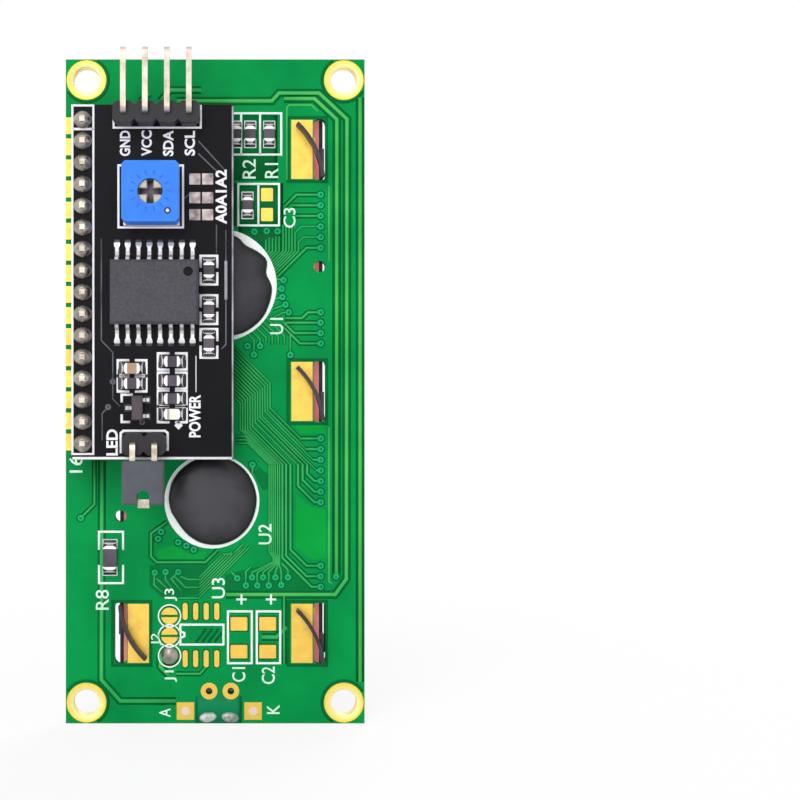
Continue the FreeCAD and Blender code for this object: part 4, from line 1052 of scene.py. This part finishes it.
lines("adapter_power_line", [[(-2.26, 4.2), (-2.26, -0.1)]], 0.12, 0.0, adapter_rise, adapter_ink, "adapter")
print(len(upright_chips), "upright and", len(flat_chips), "flat parts marked")

# %% Letters and tracks on the adapter board
lettering("adapter_print_letters", [
    ("GND", -10.61, 29.2, 1.25, 3.0), ("VCC", -8.07, 29.2, 1.25, 3.0), ("SDA", -5.53, 29.2, 1.25, 3.0),
    ("SCL", -2.99, 29.2, 1.25, 2.9), ("LED", -12.14, -6.0, 1.36, 3.1), ("POWER", -2.4, -2.9, 1.4, 5.0),
    ("A0A1A2", 0.7, 22.9, 1.35, 6.4),
], adapter_ink, "adapter", rise=adapter_rise, weight=0.042)
stand(copies(disc(0.5, 0.0, adapter_rise, 4), [(-4.31, -4.0)], "lamp_side_mark"), "adapter", adapter_ink)

adapter_tracks = [
    [(1.26, 19.0), (1.26, 5.5), (0.73, 5.0)], [(0.15, 19.6), (0.15, 16.2)], [(-2.0, 28.0), (0.4, 25.7)],
    [(-2.0, 29.5), (1.26, 25.9)], [(-3.7, 22.6), (-2.9, 23.4)],
    [(-12.05, 1.15), (-12.05, -0.9), (-11.2, -1.75)], [(-13.4, 18.0), (-13.4, 6.0), (-12.05, 4.6), (-12.05, 1.15)],
    [(-8.6, -3.6), (-8.6, -2.9)], [(-12.6, -1.84), (-13.3, -2.6), (-13.3, -5.8)],
]
lines("adapter_tracks", adapter_tracks, 0.16, 0.0, 0.035, adapter_track, "adapter")
lines("adapter_wide_track", [[(1.26, 15.35), (1.26, 10.8)]], 0.36, 0.0, 0.036, edge_ink, "adapter")
adapter_vias = copies(disc(0.36, 0.0, 0.045, hollow=0.13), [(-12.05, 1.15), (-12.6, -1.84), (-8.6, -3.6)],
                      "adapter_vias")
stand(adapter_vias, "adapter", adapter_track)
print("adapter board printed")

# %% [markdown]
# ## Names of the pins
# On the display side each of the sixteen holes has its signal's name beside it, and the first and last have their
# number. The names step down by the pitch of the pins, so a loop over the names places them, with a short dash from
# one to the next. Their ink is thinner than on the other side.

# %% Marks on the display side
front_marks = []
names = ("VSS", "VDD", "VO", "RS", "RW", "E", "D0", "D1", "D2", "D3", "D4", "D5", "D6", "D7", "A", "K")
row_top, row_pitch = 32.0, 2.54
for i, text in enumerate(names):
    front_marks.append((text, -13.9, row_top - row_pitch * i, 1.2, 0.72 * len(text)))
front_marks.append(("16", -16.6, -7.9, 1.4, 1.7))
lettering("front_print_letters", front_marks, letter_ink, "front", turn=-90.0, weight=0.0)
front_strokes = [[(-15.55, 34.4), (-16.95, 34.4), (-16.7, 34.65)], [(-15.55, 34.1), (-15.55, 34.7)]]
for i in range(3, len(names) - 1):
    between = row_top - row_pitch * (i + 0.5)
    front_strokes.append([(-13.9, between + 0.22), (-13.9, between - 0.22)])
lines("front_print_strokes", front_strokes, 0.13, 0.0, 0.05, letter_ink, face="front")
print(len(front_marks), "marks on the display side")

# %% [markdown]
# ## Resin drops
# The driver chips are glued to the board bare and covered with black resin, which is poured warm and sets as a glossy
# cushion. Its edge wanders, because it is poured by hand, and it stops on a printed white patch. Each drop starts as
# a closed smooth outline, which is filled. The face is extruded again and again, each time a little higher and drawn
# in towards the middle, until it rounds over. Insetting it instead would throw spikes where the edge is hollow.

# %% Poured drops
def poured(name, middle, edge, node):
    """Cushion of resin. Edge lists the angle and radius of the outline's points."""
    data = bpy.data.curves.new(name, "CURVE")
    data.dimensions = "2D"
    data.fill_mode = "NONE"
    spline = data.splines.new("NURBS")
    spline.points.add(len(edge) - 1)
    for point, (angle, radius) in zip(spline.points, edge):
        turn = math.radians(angle)
        x, z = middle[0] + radius * math.cos(turn), middle[1] + radius * math.sin(turn)
        point.co = (x * MM, z * MM, 0.0, 1.0)
    spline.use_cyclic_u = True
    spline.order_u = 3
    spline.resolution_u = 5
    drop = bpy.data.objects.new(name, data)
    bpy.context.scene.collection.objects.link(drop)
    alone(drop)
    bpy.ops.object.convert(target="MESH")
    bpy.ops.object.mode_set(mode="EDIT")
    bpy.ops.mesh.select_all(action="SELECT")
    bpy.ops.mesh.edge_face_add()
    bpy.ops.mesh.normals_make_consistent(inside=False)
    centre = (middle[0] * MM, middle[1] * MM, 0.0)
    for shrink, rising in ((0.995, 0.16), (0.985, 0.18), (0.965, 0.24), (0.92, 0.26), (0.83, 0.24), (0.7, 0.16),
                           (0.5, 0.1)):
        bpy.ops.mesh.extrude_region_move(TRANSFORM_OT_translate={"value": (0.0, 0.0, rising * MM)})
        bpy.ops.transform.resize(value=(shrink, shrink, 1.0), center_override=centre)
    bpy.ops.mesh.poke()
    bpy.ops.object.mode_set(mode="OBJECT")
    bpy.ops.object.shade_smooth_by_angle(angle=math.radians(70))
    stand(drop, "rear", resin)
    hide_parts(node)
    return drop


# %% The two drops
upper_edge = [(80, 6.3), (68, 6.15), (59, 5.65), (45, 6.0), (33, 6.35), (26, 6.35), (14, 5.6), (3, 6.08), (-6, 6.32),
              (-22, 6.36), (-38, 6.52), (-56, 6.46), (-69, 6.4), (-90, 6.3), (-115, 6.45), (-140, 6.3), (-165, 6.35),
              (-190, 6.4), (-215, 6.3), (-240, 6.25), (-262, 6.35)]
lower_edge = [(0, 5.58), (25, 5.55), (48, 5.6), (72, 5.54), (98, 5.56), (122, 5.45), (148, 5.5), (172, 5.35),
              (192, 5.2), (207, 4.9), (220, 4.92), (236, 5.1), (256, 5.35), (280, 5.5), (305, 5.56), (330, 5.56)]
poured("upper_drop", upper_drop, upper_edge, "driver_resin_upper")
poured("lower_drop", lower_drop, lower_edge, "driver_resin_lower")
print("two resin drops")


# %% [markdown]
# ## Round solder and plated rings
# A soldered pin is a small shiny cone: molten solder wets the pad and climbs the pin. A half outline is spun round
# the pin, once, and copied along the row. The same tool makes the gold rings that line the fixing holes and stand on
# both faces, from a closed outline with the board's thickness.

# %% Turned pieces
def turned(name, outline, steps=24, closed=False):
    """Round piece made by spinning its half outline of radius and height."""
    drawn = curve_of(name, [outline], closed)
    alone(drawn)
    bpy.ops.object.convert(target="MESH")
    drawn.rotation_euler = (math.pi / 2, 0.0, 0.0)
    bpy.ops.object.transform_apply(location=True, rotation=True, scale=True)
    bpy.ops.object.mode_set(mode="EDIT")
    bpy.ops.mesh.select_all(action="SELECT")
    bpy.ops.mesh.spin(steps=steps, angle=2 * math.pi, center=(0.0, 0.0, 0.0), axis=(0.0, 0.0, 1.0))
    bpy.ops.mesh.select_all(action="SELECT")
    bpy.ops.mesh.remove_doubles(threshold=0.001 * MM)
    bpy.ops.mesh.normals_make_consistent(inside=False)
    bpy.ops.object.mode_set(mode="OBJECT")
    bpy.ops.object.shade_smooth_by_angle(angle=math.radians(50))
    return drawn


# %% The sixteen joints of the pin row
row_x = (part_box("row_pins")[0].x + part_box("row_pins")[1].x) / 2 / MM
row_places = [(row_x, row_top - row_pitch * i) for i in range(16)]
joint_outline = [(1.08, 0.0), (1.06, 0.16), (0.92, 0.4), (0.72, 0.62), (0.52, 0.8), (0.42, 0.84), (0.3, 0.74),
                 (0.0, 0.7)]
row_joints = copies(turned("row_joint", joint_outline), row_places, "row_joints")
stand(row_joints, "adapter", joint_solder)
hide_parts("row_solder_rear")
print(len(row_places), "joints on the adapter board")

# %% The same joints on the display side
front_outline = [(0.98, copper_rise), (0.96, 0.12), (0.84, 0.22), (0.68, 0.4), (0.52, 0.64), (0.42, 0.84), (0.36, 0.9),
                 (0.0, 0.88)]
front_joints = copies(turned("front_joint", front_outline), [(-x, z) for x, z in row_places], "front_joints")
stand(front_joints, "front", front_solder)
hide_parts("row_solder_front")
print(len(row_places), "joints on the display side")

# %% The four corner rings
ring_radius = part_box("corner_hole_plating")[1].x / MM - hole_x
board_depth = front_face - rear_face
ring_outline = [(ring_radius, 0.0), (ring_radius - 0.04, copper_rise), (hole_radius + 0.1, copper_rise),
                (hole_radius, -0.04), (hole_radius, 0.04 - board_depth),
                (hole_radius + 0.1, -board_depth - copper_rise),
                (ring_radius - 0.04, -board_depth - copper_rise), (ring_radius, -board_depth),
                (hole_radius + 0.05, -board_depth), (hole_radius + 0.05, 0.0)]
corner_places = [(x, z) for x in (-hole_x, hole_x) for z in (-hole_z, hole_z)]
corner_rings = copies(turned("corner_ring", ring_outline, 48, closed=True), corner_places, "corner_rings")
stand(corner_rings, "rear", ring_gold_with_painted_highlight())
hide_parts("corner_hole_plating")
print("corner rings of radius", round(ring_radius, 2))


# %% [markdown]
# ## Pads of the parts that are not fitted
# The unused places for a small chip and three capacitors show bare gold pads. A chip's pads have round ends, so that
# solder runs off them evenly, and a capacitor's have softened corners. Each outline goes round its four corners, and
# the filled shape gets the copper's thickness. A slightly larger dark shape below it is the gap where the copper
# stops and the mask sinks to the bare board. The tabs' pads and slots have such a gap too, drawn as a line.

# %% Rounded pads
def rounded(x, z, width, height, corner):
    """Closed outline of a rectangle with round corners."""
    outline = []
    for quarter, (side_x, side_z) in enumerate(((1, 1), (-1, 1), (-1, -1), (1, -1))):
        for step in range(5):
            turn = math.radians(90 * quarter + 22.5 * step)
            outline.append((x + side_x * (width / 2 - corner) + corner * math.cos(turn),
                            z + side_z * (height / 2 - corner) + corner * math.sin(turn)))
    return outline


# %% The pads and their borders
bottom_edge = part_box("lcd_board")[0].z / MM
pads = [(x, z, 1.42, 1.58, 0.12) for x, z in ((6.24, 23.7), (6.24, 21.3))]
pads += [(x, bottom_edge + rise, 2.02, 1.62, 0.12) for x in (2.86, 6.32) for rise in (12.0, 8.65)]
pads += [(x, bottom_edge + rise, 0.6, 2.04, 0.28) for x in (-3.62, -2.35, -1.08, 0.19) for rise in (13.5, 7.8)]
margin = 0.17
area("part_pad_borders", [rounded(x, z, width + 2 * margin, height + 2 * margin, corner + margin)
                          for x, z, width, height, corner in pads], 0.012, mask_over_laminate)
part_pads = area("part_pads", [rounded(*pad) for pad in pads], copper_rise, gold)
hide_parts("spare_part_pads")
tab_borders = [rectangle(left, right, low, low + 7.7) for left, right, low in
               ((8.78, 13.4, 25.3), (8.78, 13.4, -3.9), (8.78, 13.4, -33.0), (-12.35, -7.75, -33.0))]
lines("tab_borders", tab_borders, 0.38, 0.0, 0.013, mask_over_laminate, closed=True)
print(len(pads), "bare pads and", len(tab_borders), "borders of tabs")

# %% [markdown]
# ## Solder at the small parts
# A chip part's metal ends are wetted by solder, which runs down to the pad in a waisted slope: wide on the pad, narrow
# on the corner, wide again on the end. Seen from above it is a small bow tie. It starts as one thin face, and each
# extrusion moves it inwards and changes its width and height. The legs of the expander get the same with other sizes.

# %% Waisted solder
def solder_slope(name, steps):
    """Solder that runs inwards from a pad. Each step is its distance from the middle, its width and its height."""
    out, wide, high = steps[0]
    bpy.ops.object.select_all(action="DESELECT")
    bpy.ops.mesh.primitive_plane_add(size=1.0)
    slope = bpy.context.object
    slope.name = name
    alone(slope)
    slope.rotation_euler = (0.0, math.pi / 2, 0.0)
    bpy.ops.object.transform_apply(location=False, rotation=True, scale=False)
    slope.scale = (1.0, wide * MM, high * MM)
    slope.location = (out * MM, 0.0, high / 2 * MM)
    bpy.ops.object.transform_apply(location=True, rotation=True, scale=True)
    bpy.ops.object.mode_set(mode="EDIT")
    bpy.ops.mesh.select_all(action="SELECT")
    for near, width, height in steps[1:]:
        bpy.ops.mesh.extrude_region_move(TRANSFORM_OT_translate={"value": ((near - out) * MM, 0.0, 0.0)})
        bpy.ops.transform.resize(value=(1.0, width / wide, height / high), center_override=(near * MM, 0.0, 0.0))
        out, wide, high = near, width, height
    bpy.ops.object.mode_set(mode="OBJECT")
    bpy.ops.object.shade_smooth_by_angle(angle=math.radians(35))
    return slope


def both_ends(places, upright):
    """Each place twice, for the two ends of a part that lies across or stands upright."""
    turns = (90.0, -90.0) if upright else (0.0, 180.0)
    return [(x, z, turn) for x, z in places for turn in turns]


# %% Solder at the chip parts
small_slope = [(1.34, 1.42, 0.1), (1.24, 1.36, 0.14), (1.06, 0.5, 0.4), (0.94, 0.62, 0.6), (0.74, 1.2, 0.62),
               (0.56, 1.26, 0.62)]
large_slope = [(1.9, 1.75, 0.1), (1.78, 1.7, 0.16), (1.6, 0.7, 0.42), (1.46, 0.8, 0.65), (1.24, 1.55, 0.67),
               (1.08, 1.6, 0.67)]
board_chips = [(6.51, 30.96), (4.22, 30.96), (2.53, 30.96), (3.89, 22.41)]
board_slopes = copies(solder_slope("slope", small_slope), both_ends(board_chips, True), "board_chip_solder")
stand(board_slopes, "rear", silver_solder)
lamp_slopes = copies(solder_slope("slope", large_slope), both_ends([(-12.67, -20.0)], True), "lamp_chip_solder")
stand(lamp_slopes, "rear", silver_solder)
adapter_ends = both_ends(upright_chips, True) + both_ends(flat_chips, False)
adapter_slopes = copies(solder_slope("slope", small_slope), adapter_ends, "adapter_chip_solder")
stand(adapter_slopes, "adapter", silver_solder)

print("solder at", len(board_chips) + len(adapter_ends) // 2 + 1, "chip parts")

# %% Solder at the expander's legs
leg_slope = [(5.95, 0.6, 0.1), (5.8, 0.74, 0.24), (5.45, 0.6, 0.34), (5.2, 0.34, 0.36), (4.85, 0.36, 0.3)]
expander_low, expander_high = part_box("expander_chip")
expander_x = (expander_low.x + expander_high.x) / 2 / MM
expander_z = (expander_low.z + expander_high.z) / 2 / MM
leg_pitch = 1.27
leg_row = [(expander_x + leg_pitch * (i - 3.5), expander_z) for i in range(8)]
leg_solder = copies(solder_slope("slope", leg_slope), both_ends(leg_row, True), "expander_leg_solder")
stand(leg_solder, "adapter", silver_solder)
print("solder at", 2 * len(leg_row), "legs")

# %% [markdown]
# ## Lumps at the lamp
# The lamp's two wires are soldered at the board's edge by hand, which leaves two flat lumps. Each is spun like the
# joints of the pins, then squeezed to an oval and turned a little, so that they don't look alike.

# %% Two lumps of solder that hold the lamp
lump_outline = [(1.0, 0.0), (0.98, 0.14), (0.84, 0.32), (0.55, 0.44), (0.25, 0.47), (0.0, 0.46)]
lump = turned("lump", lump_outline)
lump.scale = (1.05, 0.6, 1.0)
bpy.ops.object.transform_apply(location=False, rotation=False, scale=True)
lamp_lumps = copies(lump, [(-0.87, -39.25, 8.0), (1.8, -39.25, -6.0)], "lamp_lumps")
stand(lamp_lumps, "rear", lump_solder)
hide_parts("lamp_solder")
print("two lumps at the lamp")

# %% [markdown]
# ## Camera, floor and light
# The photo is taken square on, from about 18 cm away, with the module left of the middle. The camera therefore
# looks straight along +Y and its lens is shifted, which moves the picture without turning the view.
# The floor is white to the camera but still takes the object's shadow: it blends a glow with a matt white.

# %% The camera
camera_distance = 180.0
lens_width = 36.0
photo_width = 800
pixels_per_mm = 8.3
board_middle = (215.2, 391.4)

camera_data = bpy.data.cameras.new("camera")
camera = bpy.data.objects.new("camera", camera_data)
bpy.context.scene.collection.objects.link(camera)
bpy.context.scene.camera = camera
camera.location = (0.0, -camera_distance * MM, 0.0)
camera.rotation_euler = (math.pi / 2, 0.0, 0.0)
camera_data.sensor_width = lens_width
camera_data.lens = lens_width * camera_distance * pixels_per_mm / photo_width
camera_data.shift_x = (photo_width / 2 - board_middle[0]) / photo_width
camera_data.shift_y = -(photo_width / 2 - board_middle[1]) / photo_width
print("lens", round(camera_data.lens, 2), "mm")


# %% [markdown]
# ## The floor
# The floor is one large plane below the module. It mixes a matt white with a glow that only the camera sees, and the
# glow's share grows with the distance, so that the shadow near the module stays and the rest turns white.

# %% The floor
def pale_floor():
    finish = Finish("pale floor", Roughness=0.9)
    finish.set(Base_Color=finish.blend(finish.noise(60.0), linear((250, 249, 252)), linear((246, 245, 250))))
    glow = finish.node("ShaderNodeEmission", {}, {"Color": (1.0, 1.0, 1.0, 1.0), "Strength": 1.0})
    path = finish.node("ShaderNodeLightPath", output="Is Camera Ray")
    x, y, z = split(finish, finish.place())
    away = finish.node("ShaderNodeMath", {"operation": "SQRT"}, {0: x * x + y * y})
    glow_share = finish.spread(away, 45.0, 150.0, 0.8, 1.0)
    out = finish.tree.nodes["Material Output"]
    matt = Value(finish, finish.shader.outputs[0])
    both = finish.node("ShaderNodeMixShader", {}, {0: path * glow_share, 1: matt, 2: glow})
    finish.tree.links.new(both.socket, out.inputs["Surface"])
    return finish.material


bpy.ops.object.select_all(action="DESELECT")
bpy.ops.mesh.primitive_plane_add(size=3.0, location=(0.0, 0.0, cad_box[0][2]))
floor = bpy.context.object
floor.name = "floor"
dress(floor, pale_floor())
print("floor at", round(cad_box[0][2] / MM, 1), "mm")


# %% [markdown]
# ## Light
# Three soft lamps light the module: a large one high in front, a weaker one that fills the shadows of the raised
# parts, and one behind for the display side. The room gives an even light, and a Light Path node shows it to the
# camera and to mirrors as white.

# %% Light
def soft_lamp(name, place, look_at, size, power):
    data = bpy.data.lights.new(name, "AREA")
    data.shape = "DISK"
    data.size = size
    data.energy = power
    lamp = bpy.data.objects.new(name, data)
    bpy.context.scene.collection.objects.link(lamp)
    lamp.location = place
    aim = Vector(look_at) - Vector(place)
    lamp.rotation_euler = aim.to_track_quat("-Z", "Y").to_euler()
    return lamp


soft_lamp("key", (-0.12, -0.45, 0.42), (0.0, 0.0, 0.0), 0.35, 1.35)
soft_lamp("fill", (-0.2, -0.42, 0.04), (0.0, 0.0, -0.03), 0.4, 0.75)
soft_lamp("back", (0.2, 0.5, 0.4), (0.0, 0.0, 0.0), 0.35, 1.4)

print("three lamps")

# %% The room
world = bpy.data.worlds.new("world")
bpy.context.scene.world = world
world.use_nodes = True
sky = world.node_tree.nodes["Background"]
room_light = 0.6
path = world.node_tree.nodes.new("ShaderNodeLightPath")
seen = None
for ray in ("Is Camera Ray", "Is Glossy Ray", "Is Transmission Ray"):
    if seen is None:
        seen = path.outputs[ray]
        continue
    larger = world.node_tree.nodes.new("ShaderNodeMath")
    larger.operation = "MAXIMUM"
    world.node_tree.links.new(seen, larger.inputs[0])
    world.node_tree.links.new(path.outputs[ray], larger.inputs[1])
    seen = larger.outputs[0]
strength = world.node_tree.nodes.new("ShaderNodeMapRange")
strength.inputs["To Min"].default_value = room_light
strength.inputs["To Max"].default_value = 1.0
world.node_tree.links.new(seen, strength.inputs["Value"])
world.node_tree.links.new(strength.outputs[0], sky.inputs["Strength"])
sky.inputs["Color"].default_value = (1.0, 1.0, 1.0, 1.0)
bpy.context.scene.view_settings.view_transform = "Standard"
print("room light ready")


# %% [markdown]
# ## The end

# %% The end
print("the end")
